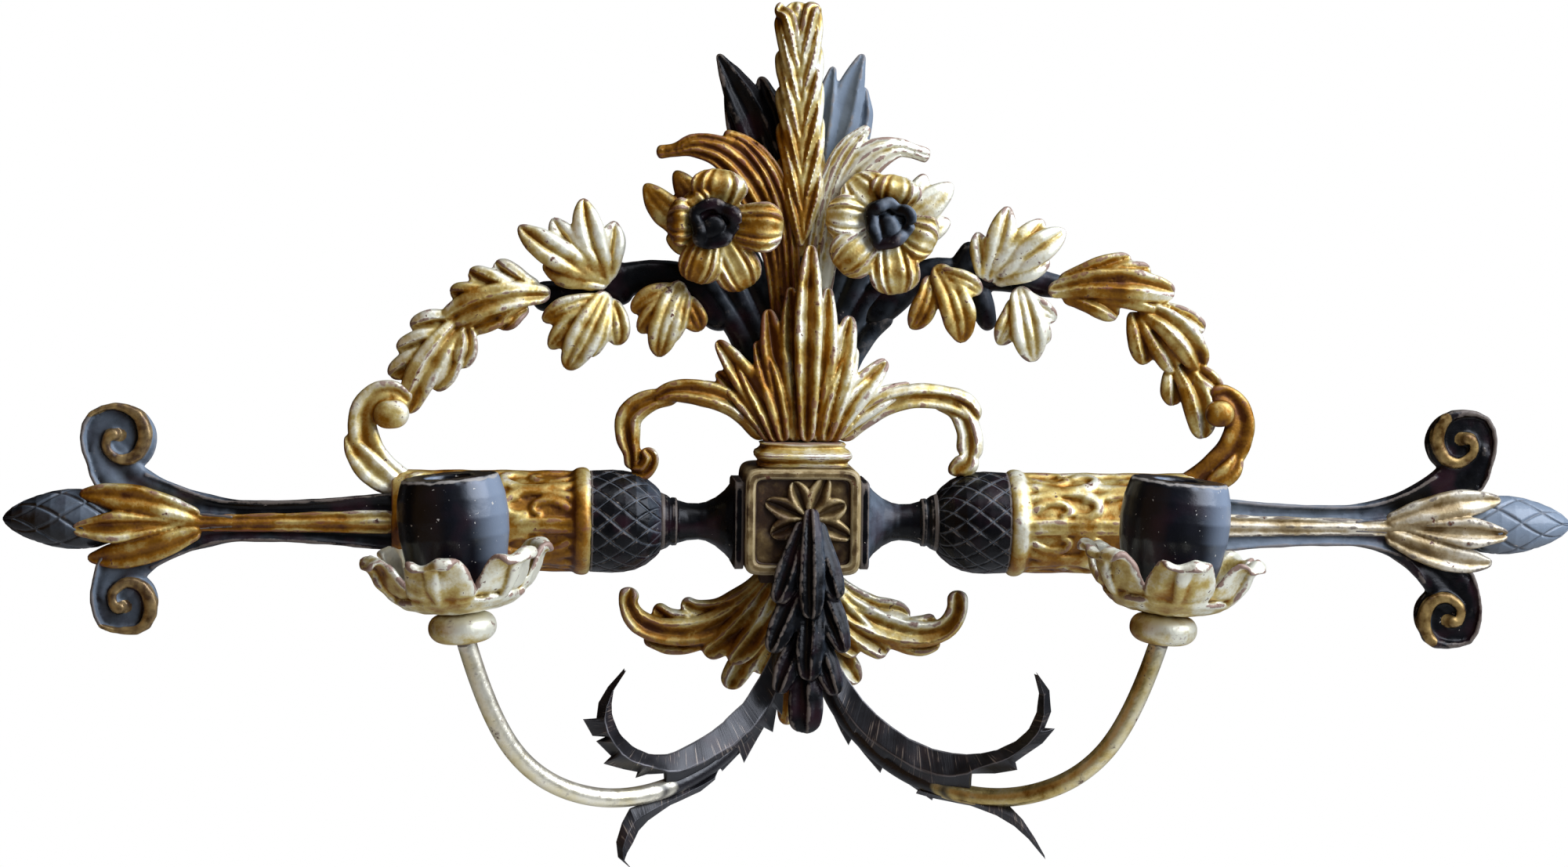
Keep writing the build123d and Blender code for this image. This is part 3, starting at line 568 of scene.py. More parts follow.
black_wood = ebonised("ebonised_limewood", paint("#6f747a"), 0.18)
AXIS_OUT = 29.0
PLATE_END = 36.0
spool_rings = revolve([
    (31, 23.2, 14), (31.4, 23.5, 14), (35.4, 23.5, 14), (PLATE_END, 22.6, 12), (PLATE_END + 0.4, 20.8, 3),
    (40, 17, 2), (45, 12.9, 2), (50, 10.5, 2), (54, 9.7, 2), (60, 10.1, 2), (65.2, 11.5, 2),
    (66, 12.8, 2), (68, 13.0, 2), (69, 12.6, 2), (71, 14.2, 2), (74.3, 15.6, 2)], 160)
spool_rings = spool_rings + wander(spool_rings, 0.2, 25)[..., None] * np.array([0, 0.7, 0.7])
acorn_rings = revolve([(74, 15.0, 2), (75, 17, 2), (77, 19.2, 2), (82, 23.2, 2), (88, 26, 2), (94, 27.2, 2),
                       (100, 27.6, 2), (112, 27.1, 2)], 320, 0.5)
ACORN_LINES = 15
acorn_cut, acorn_rings = lattice(acorn_rings, 74, 14.0, ACORN_LINES, 0.8, 0.2)
for side_name, flip in SIDES:
    spool_mesh = make_mesh("spool", [skin(flip(spool_rings))])
    weather(spool_mesh)
    place_piece(side_name + "_spool_turned", spool_mesh, black_wood, side_name + "_spool",
                extra_painted_light=-0.6 if side_name == "left" else 0.1)
    acorn_mesh = make_mesh("acorn", [skin(flip(acorn_rings))])
    weather(acorn_mesh)
    mark(acorn_mesh, "cut", np.concatenate([acorn_cut.ravel(), [0, 0]]))
    place_piece(side_name + "_acorn_cut", acorn_mesh, black_wood, side_name + "_acorn",
                extra_painted_light=-0.1)


# ---------------------------------------------------------------- collars and carved sleeves
# One limewood turning on each side, carved in low relief with hooked leaves on both sides of a split
# rib, gessoed and water gilded. It ends against the acorn in a bold half-round collar.
SLEEVE_GROUND, SLEEVE_END, HOOK_PITCH = 24.6, 212, 48.0


def on_bar(rings):
    """Lays flat rings (x, s, height) on the sleeve: s is wound round its ground as an arc, so the angle
    from the front is s / radius, and the height stands on the radius."""
    angle = rings[..., 1] / SLEEVE_GROUND
    radius = SLEEVE_GROUND + rings[..., 2]
    return np.stack([rings[..., 0], radius * np.sin(angle), AXIS_OUT + radius * np.cos(angle)], -1)


# Water gilding over red bole: painted silver-pale where a surface faces the key light, painted deep amber
# as shade down in the carving and where it faces away, red-brown clay on the rubbed crests, and dark
# umber dirt and painted shade in the deepest cuts.
gilt = gilded("water_gilding_over_bole", [
    (0.30, paint("#552a00")), (1.0, paint("#f3f0da")), (0.56, paint("#976404")), (0.78, paint("#c9b26a"))],
    paint("#6e3322"), 0.52, 0.44)

sleeve_surfaces = [revolve([
    (112, 26.3, 2), (113.2, 28.0, 2), (115, 28.8, 2), (117.5, 28.9, 2), (119.8, 28.2, 2), (121, 26.5, 2),
    (122.4, 25.4, 2), (125, SLEEVE_GROUND, 2), (165, 24.9, 2), (205, 25.2, 2), (212, 25.6, 2),
    (217, 23.5, 2)], 150)]
QUARTER = np.pi / 2 * SLEEVE_GROUND
for turn_index in range(4):
    for s in (1, -1):
        for shift in (0.0, HOOK_PITCH):
            hooks = [
                ([(121 + 0.6 * shift, 15, 0, 2.4), (140 + shift, 19, 0.5, 2.9), (153 + shift, 17, 0.6, 2.8),
                  (159 + shift, 10.5, 0.6, 2.5), (153.5 + shift, 5.5, 0.4, 2.0),
                  (145 + shift, 6, 0, 1.3)], 2.6),
                ([(123 + shift, 8.5, 0, 1.6), (132 + shift, 13, 0.2, 1.9), (140 + shift, 12.4, 0.3, 1.9),
                  (143 + shift, 8, 0.2, 1.7), (138 + shift, 5.2, 0, 1.2)], 2.0)]
            for stations, rise in hooks:
                path = [(min(x, SLEEVE_END), s * across + turn_index * QUARTER, height, half)
                        for x, across, height, half in stations]
                sleeve_surfaces.append(on_bar(stroke(path, rise, under=2)))
        path = [(x, s * 2.0 + turn_index * QUARTER, 0.2, 1.9) for x in (119, 150, 185, 214)]
        sleeve_surfaces.append(on_bar(stroke(path, 2.2, under=2)))
for side_name, flip in SIDES:
    sleeve_mesh = carve("sleeve", [flip(rings) for rings in sleeve_surfaces], 1.0, 2, 0.2)
    place_piece(side_name + "_sleeve_carved", sleeve_mesh, gilt, side_name + "_sleeve",
                extra_painted_light=-0.8 if side_name == "left" else -0.2)


# ---------------------------------------------------------------- fluted bar and its volutes
# A flat-sided black bar with a channel cut along each half. It forks at its end, and each channel
# runs on into a volute. A fillet edges the channels and winds in to the eye, gilded where it rolls over.
def gilt_line(points, paths):
    """How much gilding is on each point: 1 within a path's half width of its line, seen from the front,
    and 0 from 0.8 mm outside it."""
    amount = np.zeros(len(points))
    front = points[:, 2] > 31
    for stations in paths:
        line, _ = curve(stations, np.linspace(0, 1, 160))
        gap = np.linalg.norm(points[front, None, :2] - line[None, :, :2], axis=-1) - line[None, :, 3]
        amount[front] = np.maximum(amount[front], np.clip(1 - gap.min(1) / 0.8, 0, 1))
    return amount


def volute(eye_x, eye_z, s, reach):
    """Channel, disc and winding fillet of one volute. s is 1 for the upper one and -1 for the lower.
    The fillet's stations go up the far edge, over the top and down to the eye, widening as they go."""
    channel = [(214, s * 9.0, 36, 6.0), (259, s * 6.6, 36, 4.6), (296, s * 6.2, 36, 4.6),
               (318, s * 8.6, 36, 6.2), (337, eye_z - s * 31, 36, 8.4),
               (eye_x - 5, eye_z - s * 22, 36, 11.0), (eye_x + 5, eye_z - s * 9, 36, 11.0),
               (eye_x + 8, eye_z + s * 2, 36, 8.0)]
    body = stroke(channel, 3.6, under=17, hollow=0.55)
    disc = stroke([(eye_x - reach, eye_z, 35.5, reach - 1.5), (eye_x + reach - 1, eye_z, 35.5, reach - 1.5)],
                  2.2, under=17)
    r = reach
    fillet = [(300, s * 2.2, 39, 0.8), (322, s * 4.2, 39, 0.8), (341, eye_z - s * 37, 39, 0.8),
              (eye_x + 9, eye_z - s * 26, 39, 0.9), (eye_x + 15.4, eye_z - s * 12, 39, 0.9),
              (eye_x + r - 1.2, eye_z + s * 1, 39, 1.0), (eye_x + r - 5.5, eye_z + s * 13, 39, 1.1),
              (eye_x + 2, eye_z + s * (r - 2.2), 39, 1.6), (eye_x - 10, eye_z + s * 13.6, 39, 2.8),
              (eye_x - 14.4, eye_z + s * 3, 39, 3.5), (eye_x - 10.5, eye_z - s * 7.5, 39.2, 3.1),
              (eye_x - 2, eye_z - s * 10.5, 39.6, 2.5), (eye_x + 5.5, eye_z - s * 5, 40, 2.3),
              (eye_x + 4.5, eye_z + s * 2.5, 40.4, 2.5), (eye_x - 1, eye_z + s * 2.5, 40.8, 3.4)]
    near_edge = [(216, s * 14.6, 37.5, 0.8), (259, s * 10.8, 38, 0.8), (296, s * 10, 38, 0.8),
                 (314, s * 12.2, 38, 0.8), (331, s * 18.5, 38, 0.8), (eye_x - 14, eye_z - s * 18, 38, 0.9)]
    surfaces = [body, disc, stroke(fillet, 2.6, under=6), stroke(near_edge, 1.6, under=6)]
    return surfaces, fillet


BAR_EYES = {"left": ((361, 43, 20), (358, -43, 17.5)), "right": ((359, 45, 19), (354, -49, 18))}
GILT_FROM = {"left": 6, "right": 8}     # the station of each fillet where its gilding starts
gilded_edge = ebonised("ebonised_bar_with_gilt_fillets", paint("#c9a24e"), 0.2)
fillet_tree = gilded_edge.node_tree
fillet_shader = fillet_tree.nodes["Principled BSDF"]
fillet_patch = clouds(fillet_tree, add(fillet_tree, "ShaderNodeTexCoord", out=3), 5, 3.0)
on_fillet = marked(fillet_tree, "fillet")
on_fillet = weigh(fillet_tree, fillet_patch, 0.9, on_fillet)
on_fillet = fade_in(fillet_tree, on_fillet, 1.02, 1.35, 0.85)
fillet_leaf = add(fillet_tree, "ShaderNodeValToRGB", {"Fac": fillet_patch}, [
    (0.35, paint("#5c3f17")), (0.68, paint("#b1935a"))])
black_colour = fillet_shader.inputs["Base Color"].links[0].from_socket
fillet_colour = cover(fillet_tree, on_fillet, black_colour, fillet_leaf)
fillet_tree.links.new(fillet_colour, fillet_shader.inputs["Base Color"])
fillet_tree.links.new(add(fillet_tree, "ShaderNodeMath", {0: on_fillet, 1: 0.5}, operation="MULTIPLY"),
                      fillet_shader.inputs["Metallic"])

for side_name, flip in SIDES:
    bar_surfaces, gilded_parts = [], []
    for (eye_x, eye_z, reach), s in zip(BAR_EYES[side_name], (1, -1)):
        surfaces, fillet = volute(eye_x, eye_z, s, reach)
        bar_surfaces += surfaces
        gilded_parts.append(fillet[GILT_FROM[side_name]:])
    spine = [(214, 0, 33, 12.5), (259, -0.3, 33, 9.5), (300, -0.6, 33, 8.5), (345, -1, 33, 12)]
    bar_surfaces.append(stroke(spine, 3, under=14))
    bar_mesh = carve("bar", [flip(rings) for rings in bar_surfaces], 0.95, 2, 0.15)
    bar_points = read(bar_mesh) * ([-1, 1, 1] if side_name == "left" else 1)
    mark(bar_mesh, "fillet", gilt_line(bar_points, gilded_parts))
    towards_end = np.tanh((bar_points[:, 0] - 322) / 20)
    # Painted sheen: how much paler each bar is painted than its facing gives, changing towards its end.
    painted_sheen_at = {"left": 0.4 + 0.3 * towards_end, "right": 0.3 - 0.6 * towards_end}
    place_piece(side_name + "_bar_carved", bar_mesh, gilded_edge, side_name + "_bar",
                extra_painted_light=painted_sheen_at[side_name])


# ---------------------------------------------------------------- calyx and pine cone
# A gilded rib runs along the bar's face and opens into three lobes that hold a black pine cone, a
# turning with its scales cut in with a V tool.
calyx_surfaces = [
    stroke([(214, 0, 37, 6.6), (259, -0.4, 37.5, 5.2), (300, -0.8, 38, 4.6), (331, -1, 38.5, 4.6),
            (350, -1.5, 38.5, 7), (362, -2, 38, 9)], 4, under=8, flutes=2),
    leaf(318, 2, 381, 14, 15, 3, 38, 37, 3, 5, under=16, hollow=0.55, hollow_at=0.2, blunt=0.9),
    leaf(318, -5, 377, -20, 15, -3, 38, 36, 3, 5, under=16, hollow=0.55, hollow_at=-0.2, blunt=0.9),
    stroke([(330, -1, 39, 2), (346, -2, 42, 5.5), (364, -3, 44, 8), (384, -4, 43, 3)], 5, under=12,
           hollow=1.2, vein=0.5, blunt=0.8)]
# Gilding rubbed down to a silvery olive, dark in its cuts with the bar's black stain and painted shade.
rubbed_gilt = gilded("rubbed_gilding_on_the_bar", [
    (0.30, paint("#2c1d0e")), (1.0, paint("#d6ccb6")), (0.56, paint("#6e5428")), (0.80, paint("#a8946e"))],
    paint("#3c2a24"), 0.45, 0.42)
cone_wood = ebonised("ebonised_pine_cone", paint("#4a4d52"), 0.4)
cone_rings = revolve([(364, 12.0, 2), (372, 14.9, 2), (380, 16.0, 2), (388, 15.9, 2), (396, 14.7, 2),
                      (404, 12.4, 2), (411, 9.6, 2), (417, 6.2, 2), (420.4, 3.2, 2), (422, 0.8, 2)], 220, 0.5)
CONE_LINES = 6
cone_cut, cone_rings = lattice(cone_rings, 366, 25.0, CONE_LINES, 1.0, 0.35)
for side_name, flip in SIDES:
    calyx_mesh = carve("calyx", [flip(rings) for rings in calyx_surfaces], 0.8, 2, 0.2)
    place_piece(side_name + "_calyx_carved", calyx_mesh, gilt if side_name == "left" else rubbed_gilt,
                side_name + "_calyx", extra_painted_light=-0.6 if side_name == "left" else 0.3)
    cone_mesh = make_mesh("pine_cone", [skin(flip(cone_rings))])
    weather(cone_mesh)
    mark(cone_mesh, "cut", np.concatenate([cone_cut.ravel(), [0, 0]]))
    place_piece(side_name + "_pine_cone_cut", cone_mesh, cone_wood,
                side_name + "_pine_cone", extra_painted_light=0.6 if side_name == "left" else 1.3)


# ---------------------------------------------------------------- neck ring
# A moulding of three members on the block's top, gilded: fillet, bead and cove. It hides the joint
# between the block and the palmette.
neck_profile = even([       # half width, half depth, z, middle's distance from the wall
    (21, 16, 31.1, 35), (24.0, 19.0, 31.1, 35), (24.3, 19.3, 32.4, 35), (23.6, 18.8, 33.6, 35),
    (24.4, 19.4, 34.6, 35.6), (25.6, 20.5, 36.0, 36.4), (25.9, 20.7, 37.4, 36.5), (25.4, 20.3, 38.7, 36.2),
    (23.6, 18.8, 39.7, 35), (22.4, 17.6, 40.9, 33.8), (22.3, 17.4, 42.0, 33.5), (22.9, 17.8, 43.0, 33.6),
    (20, 15, 43.4, 33.5)], 0.5)
half_x, half_out, height, middle = neck_profile.T
ring_x, ring_out = squared(half_x, half_out, 5, 300)
neck_rings = np.stack([1 + ring_x, height[:, None] + 0 * ring_x, middle[:, None] + ring_out], -1)
neck_rings[..., 1] += wander(neck_rings, 0.25, 30)
neck_mesh = make_mesh("neck_ring", [skin(neck_rings)])
weather(neck_mesh)
place_piece("neck_ring_moulded", neck_mesh, gilt, "neck_ring")


# ---------------------------------------------------------------- black stems and branches
# A fan of ebonised stems stands on the block behind the palmette and carries everything above; two
# branches spring from it. All are carved from flat boards, so their backs are plain bare wood.
def stems(rows, rise=8.0, under=7.6, **style):
    """Strokes from rows of (x, z, full width) stations at one height from the wall."""
    return [stroke([(x, z, 8, width / 2) for x, z, width in row], rise, under=under, **style) for row in rows]


def let_in(mesh, height):
    """Sinks the flat back round a hanger plate, so that the plate lies in its pocket."""
    points = read(mesh)
    near = (np.abs(points[:, 0]) < 9.4) & (np.abs(points[:, 1] - height) < 17.4) & (points[:, 2] < 2.3)
    points[near, 2] = 2.3
    write(mesh, points)
    return mesh


trunk_surfaces = stems([
    [(0, 31, 26), (0, 60, 28), (0, 110, 30), (-1, 140, 24), (-1, 168, 19)]], rise=6, flutes=2)
trunk_surfaces += stems([
    [(-10, 38, 12), (-18, 66, 14), (-30, 98, 14), (-46, 122, 14), (-56, 142, 12)],
    [(-6, 50, 12), (-16, 84, 13), (-28, 112, 13), (-40, 134, 13), (-46, 150, 10)],
    [(-4, 70, 12), (-12, 104, 14), (-24, 132, 14), (-34, 152, 12)],
    [(10, 38, 12), (22, 72, 12), (36, 98, 11), (50, 112, 10)],
    [(8, 50, 12), (18, 82, 12), (34, 114, 11), (50, 134, 9)],
    [(4, 60, 12), (14, 92, 13), (28, 122, 12), (38, 146, 11)],
    [(2, 70, 12), (10, 104, 14), (20, 132, 13), (28, 152, 12)]], rise=8)
place_piece("trunk_carved", let_in(carve("trunk", trunk_surfaces, 1.1), HANGER_HIGH), black_wood,
            "trunk", extra_painted_light=0.3)

BRANCHES = {
    "left": [[(-36, 104, 20), (-58, 126, 19), (-76, 131, 16), (-98, 127, 19), (-120, 120, 17),
              (-144, 119, 16)],
             [(-90, 118, 12), (-104, 126, 16), (-116, 131, 12)], [(-96, 128, 13), (-98, 138, 9)]],
    "right": [[(36, 106, 16), (52, 120, 17), (70, 134, 14), (92, 133, 15), (116, 131, 15), (146, 126, 12)],
              [(94, 128, 15), (100, 115, 13), (104, 103, 8)], [(84, 132, 12), (90, 142, 10), (94, 150, 7)]]}
for side_name, rows in BRANCHES.items():
    branch_mesh = carve("branch", stems(rows), 0.9)
    place_piece(side_name + "_branch_carved", branch_mesh, black_wood,
                side_name + "_branch", extra_painted_light=-0.3 if side_name == "left" else 0.3)


# ---------------------------------------------------------------- palmette and tendrils
# The front of the crest: a gilded fan of fluted fronds, each with a raised rim, rising from the neck
# ring, and a tendril on each side that arches over and comes down on the acorn.
def fronds(rows, **style):
    """Lobes from rows (root x, root z, tip x, tip z, width, bow, low, high, arch)."""
    return [leaf(*row, **style) for row in rows]


PALMETTE = [
    (3, 44, 4, 149, 15, 0.6, 38, 36, 4), (-3, 44, -6, 126, 13, 0.5, 34, 31, 3),
    (9, 44, 14, 126, 13, -0.5, 34, 31, 3), (-6, 44, -18, 114, 15, 0.5, 33, 30, 4),
    (-9, 44, -24, 97, 12, -1.0, 36, 31, 3), (-12, 44, -45, 97, 14, -2.0, 31, 29, 4),
    (-13, 44, -34, 88, 12, -2.0, 35, 31, 3), (-16, 44, -45, 80, 12, -3.0, 33, 28, 3),
    (-18, 46, -54, 74, 11, -3.5, 31, 26, 3), (12, 44, 26, 111, 15, 0.0, 34, 30, 4),
    (13, 44, 29, 94, 12, 1.0, 36, 31, 3), (15, 44, 46, 87, 14, 2.5, 33, 29, 4),
    (17, 44, 41, 77, 11, 3.0, 35, 30, 3), (19, 46, 59, 74, 11, 3.5, 33, 27, 3)]
palmette_surfaces = fronds(PALMETTE, rise=5.5, under=9, hollow=1.0, hollow_at=0.1, tip=0.36, blunt=1.0)
palmette_surfaces.append(stroke([(1, 43.5, 26, 21), (1, 60, 25, 24), (1, 88, 23, 19)], 5, under=10))
palmette_mesh = carve("palmette", palmette_surfaces)
# Painted light: the fan's right half is painted paler and its left half darker.
place_piece("palmette_carved", palmette_mesh, gilt, "palmette",
            extra_painted_light=0.7 * np.tanh((read(palmette_mesh)[:, 0] - 12) / 22) - 0.1)

TENDRILS = {
    "left": [[(-18, 46, 30, 6), (-34, 62, 31, 6.5), (-52, 69, 32, 7), (-68, 70, 31, 5.5),
              (-78, 66.5, 30, 3.5)],
             [(-66, 66, 29, 3), (-80, 65, 29, 6), (-91, 57, 29, 7), (-92, 46, 29, 6.5), (-90, 36, 29, 4.5),
              (-90, 28, 29, 4.0)],
             [(-90, 27, 30, 4), (-84, 27, 31, 4.5), (-80, 34, 31, 4.5), (-84, 39, 31, 3)]],
    "right": [[(20, 46, 30, 6), (40, 62, 31, 7), (58, 68, 32, 6.5), (74, 68, 31, 6.5), (88, 64, 31, 6.5),
               (96, 56, 30, 4)],
              [(72, 66, 29, 4), (85, 61, 29, 6), (91, 50, 29, 6.5), (92, 40, 29, 7), (91, 33, 29, 4.5)],
              [(92, 38, 29, 5), (90, 32, 30, 6.5), (85, 28, 30, 6), (84, 25, 30, 4)]]}
for side_name, rows in TENDRILS.items():
    tendril = [stroke(row, 5, under=6, hollow=0.7, hollow_at=-0.15, vein=0.4, vein_at=0.35) for row in rows]
    place_piece(side_name + "_tendril_carved", carve("tendril", tendril, 0.8), gilt,
                side_name + "_tendril", extra_painted_light=-0.4 if side_name == "left" else 0.0)


# ---------------------------------------------------------------- wheat ear
# The crest's tallest piece: an ear of wheat with long grains that lap upwards on both sides of a
# centre ridge, carved in the round at the front and gilded.
EAR_LOW, EAR_TOP, GRAIN_STEP, GRAIN_PAIRS = 142.0, 277.0, 19.0, 6
ear_surfaces = [stroke([(-1, EAR_LOW, 20, 4), (0, 160, 21, 7), (-0.5, 200, 22, 9), (-2, 235, 22, 8.5),
                        (-4, EAR_TOP, 21, 5)], 5, under=5)]
for index in range(GRAIN_PAIRS):
    for s in (1, -1):
        foot = EAR_LOW + 6 + GRAIN_STEP * index + (4 if s > 0 else 0)
        middle = -0.9 * (foot - 160) / 30
        top = min(foot + 46, EAR_TOP)
        swell = 4.6 if index < GRAIN_PAIRS - 1 else 4.0
        ear_surfaces.append(stroke([
            (middle + 0.8 * s, foot, 27.5, 1.6), (middle + 3.2 * s, foot + 12, 28.5, 0.8 * swell),
            (middle + 6.4 * s, foot + 26, 27, swell), (middle + 9.2 * s - 1, top - 4, 22.5, 0.8 * swell),
            (middle + 9.0 * s - 1, top, 20, 1.5)], 3.6, under=6, hollow=0.5, hollow_at=0.3 * s, vein=0.6,
            vein_at=-0.25 * s, blunt=0.6))
ear_surfaces.append(stroke([(-3.5, 240, 25, 3), (-4, 262, 24, 6), (-3.6, EAR_TOP + 1, 21, 7)], 4, under=6,
                           flutes=2))
ear_mesh = carve("wheat_ear", ear_surfaces, 0.75)
# Painted light: the ear is painted paler towards its top and darker below.
place_piece("wheat_ear_carved", ear_mesh, gilt, "wheat_ear",
            extra_painted_light=0.25 * np.tanh((read(ear_mesh)[:, 1] - 210) / 25) - 0.15)


# ---------------------------------------------------------------- tall black leaves and gilt curling leaves
# Behind the ear stand two ebonised leaves with raised ribs; beside it two gilded ones curl out and
# end in blunt rolled tips.
BACK_LEAVES = {
    "left": [[(-5, 164, 9, 9), (-14, 188, 9, 10), (-25, 214, 10, 11), (-35, 233, 10, 8), (-45, 250, 11, 1.5)],
             [(-6, 170, 9, 8), (-12, 200, 10, 8.5), (-17, 222, 10, 7.5), (-22, 238, 11, 2)],
             [(-14, 172, 8, 7), (-27, 190, 8, 7), (-36, 212, 8, 4), (-40, 229, 8, 1.5)]],
    "right": [[(6, 164, 9, 8), (14, 190, 10, 8.5), (22, 215, 11, 9.5), (27, 234, 11, 7), (33, 251, 11, 1.5)],
              [(5, 168, 9, 7), (9, 196, 10, 8), (13, 222, 11, 7), (17, 244, 11, 1.5)],
              [(16, 172, 8, 7), (26, 196, 8, 8), (33, 216, 8, 6), (34, 233, 8, 2)]]}
CURL_LEAVES = {
    "left": [[(-9, 108, 20, 6), (-12, 140, 21, 8), (-19, 166, 23, 10), (-30, 185, 26, 10.5),
              (-43, 197, 28, 8.5), (-57, 201, 28, 6.5), (-68, 198.5, 27, 3.6), (-78, 197, 26, 3.8)],
             [(-5, 120, 22, 5), (-9, 160, 24, 6.5), (-17, 184, 26, 7), (-29, 200, 27, 5.5),
              (-42, 208, 27, 2)]],
    "right": [[(9, 108, 20, 6), (12, 140, 21, 7.5), (17, 164, 23, 9), (25, 183, 26, 10), (37, 196, 28, 9),
               (50, 201, 28, 5.5), (58, 199.5, 27, 4), (68, 196.5, 26, 3.8)],
              [(6, 124, 22, 5), (11, 163, 24, 6), (17, 186, 26, 6.5), (25, 201, 27, 6), (35, 212, 27, 2)]]}
for side_name in ("left", "right"):
    tall = [stroke(row, 5, under=5, hollow=0.7, hollow_at=0.2, vein=0.35, vein_at=-0.5)
            for row in BACK_LEAVES[side_name]]
    place_piece(side_name + "_back_leaf_carved", carve("back_leaf", tall), black_wood,
                side_name + "_back_leaf", extra_painted_light=-0.6 if side_name == "left" else 1.7)
    curling = [stroke(row, 5.5, under=6, flutes=3, blunt=0.6)
               for row in CURL_LEAVES[side_name]]
    place_piece(side_name + "_curl_leaf_carved", carve("curl_leaf", curling), gilt,
                side_name + "_curl_leaf", extra_painted_light=-1.2 if side_name == "left" else 0.9)


# ---------------------------------------------------------------- flowers
# A rose on each side of the ear. Its cupped petals are fluted with a veiner and gilded, and its eye is
# a black cup with a ragged rim. Three or four gilded leaves lie behind it.
FLOWERS = {     # middle, then petals as (direction, reach, width, height of the tip over the eye's foot)
    "left": (-48, 160, [(82, 28, 31, 1), (-4, 36, 27, 1), (-62, 38, 25, -3), (-108, 32, 23, -2),
                        (178, 24, 26, 2), (130, 20, 22, -1)]),
    "right": (45, 161, [(130, 30, 27, -2), (78, 25, 28, 1), (174, 32, 25, 0), (222, 35, 26, 0),
                        (-82, 37, 27, 2), (-26, 27, 27, 0)])}
FLOWER_LEAVES = {
    "left": [(-46, 150, -84, 180, 17, 4, 18, 22, 3), (-44, 152, -68, 187, 15, 0, 17, 21, 3),
             (-46, 146, -72, 152, 16, 0, 17, 20, 3), (-46, 150, -78, 166, 16, 0, 18, 20, 3)],
    "right": [(44, 150, 66, 187, 15, -3, 17, 20, 3), (44, 150, 81, 182, 17, 0, 18, 22, 3),
              (44, 146, 80, 162, 15, 0, 17, 20, 3)]}
PETAL_SEAT = 31.0
for side_name, (flower_x, flower_z, petals) in FLOWERS.items():
    flower_leaf = fronds(FLOWER_LEAVES[side_name], under=5, hollow=0.3, vein=0.3)
    place_piece(side_name + "_flower_leaf_carved", carve("flower_leaf", flower_leaf), gilt,
                side_name + "_flower_leaf", extra_painted_light=-0.8 if side_name == "left" else 0.5)
    flower = [stroke([(flower_x - 12, flower_z, 33, 12), (flower_x + 12, flower_z, 33, 12)], 7, under=4)]
    for index, (direction, reach, width, lift) in enumerate(petals):
        c, s = np.cos(np.radians(direction)), np.sin(np.radians(direction))
        seat = PETAL_SEAT + 1.2 * (index % 2)
        petal = [(flower_x + c * r, flower_z + s * r, seat + height, half) for r, height, half in (
            (5, 3, 0.26 * width), (12, 5, 0.38 * width), (0.62 * reach + 3, 8 + lift, 0.5 * width),
            (reach - 3, 6 + lift, 0.44 * width), (reach, 2 + lift, 0.36 * width))]
        flower.append(stroke(petal, 4.2, under=4, flutes=5, blunt=0.75))
    place_piece(side_name + "_flower_carved", carve("flower", flower, 0.75), gilt,
                side_name + "_flower", extra_painted_light=-0.4 if side_name == "left" else 0.1)
    t = np.linspace(0, 2 * np.pi, 13)
    ragged = 10.4 + 1.3 * np.sin(3 * t + 1) + 0.8 * np.sin(5 * t)
    rim = [(flower_x + r * np.cos(a), flower_z + r * np.sin(a), 44 + 1.2 * np.sin(4 * a), 3.2)
           for r, a in zip(ragged, t)]
    eye = [stroke(rim, 3.2, under=6, blunt=0.1),
           stroke([(flower_x - 9, flower_z, 41, 9), (flower_x + 9, flower_z, 41, 9)], 2, under=4),
           stroke([(flower_x - 7, flower_z - 2, 43, 6.6), (flower_x + 6, flower_z - 2, 43, 6.6)], 4.5,
                  under=4)]
    place_piece(side_name + "_flower_eye_carved", carve("flower_eye", eye, 0.7, 2, 0.7), black_wood,
                side_name + "_flower_eye", extra_painted_light=-0.3 if side_name == "left" else 0.4)


# ---------------------------------------------------------------- leaves on the branches
# Gilded leaves on the front of the branches: one up and two down from each, and a swag off its end.
# Their lobes arch forward, with a raised vein down each, or a cut one on the upper leaves.
TOP_LEAVES = {
    "left": [(-104, 126, -117, 172, 17, 2, 20, 24, 5), (-104, 128, -100, 160, 15, 0, 20, 21, 3),
             (-106, 130, -151, 157, 17, 2, 21, 25, 6), (-108, 126, -138, 136, 15, -1, 20, 23, 4),
             (-106, 130, -133, 161, 16, 2, 22, 22, 5), (-104, 126, -132, 128, 11, -2, 20, 22, 3)],
    "right": [(101, 130, 111, 170, 15, 0, 20, 24, 5), (98, 132, 95, 156, 11, 0, 20, 21, 3),
              (104, 134, 130, 163, 17, -1, 22, 22, 5), (106, 134, 142, 158, 16, 0, 21, 25, 6),
              (104, 130, 134, 141, 15, 1, 20, 23, 4), (104, 134, 122, 152, 16, 0, 23, 23, 4)]}
DROP_LEAVES = {
    "left": [(-104, 122, -125, 81, 18, 0, 21, 24, 6), (-106, 118, -138, 107, 13, -2, 20, 23, 4),
             (-106, 116, -134, 92, 14, -2, 20, 23, 4), (-102, 118, -98, 94, 15, 1, 20, 23, 4),
             (-104, 118, -113, 88, 14, 0, 21, 23, 5)],
    "right": [(118, 127, 126, 87, 19, 0, 21, 24, 6), (118, 124, 138, 110, 12, -1, 20, 22, 4),
              (116, 120, 107, 96, 13, 1, 20, 23, 4), (116, 122, 134, 97, 14, -1, 21, 23, 5)]}
INNER_LEAVES = {
    "left": [(-64, 128, -76, 88, 17, -2, 21, 24, 6), (-66, 124, -90, 112, 14, -2, 20, 23, 4),
             (-66, 120, -86, 101, 13, -2, 20, 23, 5), (-62, 120, -54, 102, 14, 0, 20, 22, 4),
             (-62, 124, -70, 96, 12, 0, 23, 25, 4)],
    "right": [(73, 138, 87, 97, 19, 3, 21, 24, 6), (74, 134, 97, 124, 13, 1, 22, 24, 4),
              (70, 132, 60, 104, 14, 2, 20, 22, 4), (72, 134, 91, 101, 11, 0, 20, 21, 3)]}
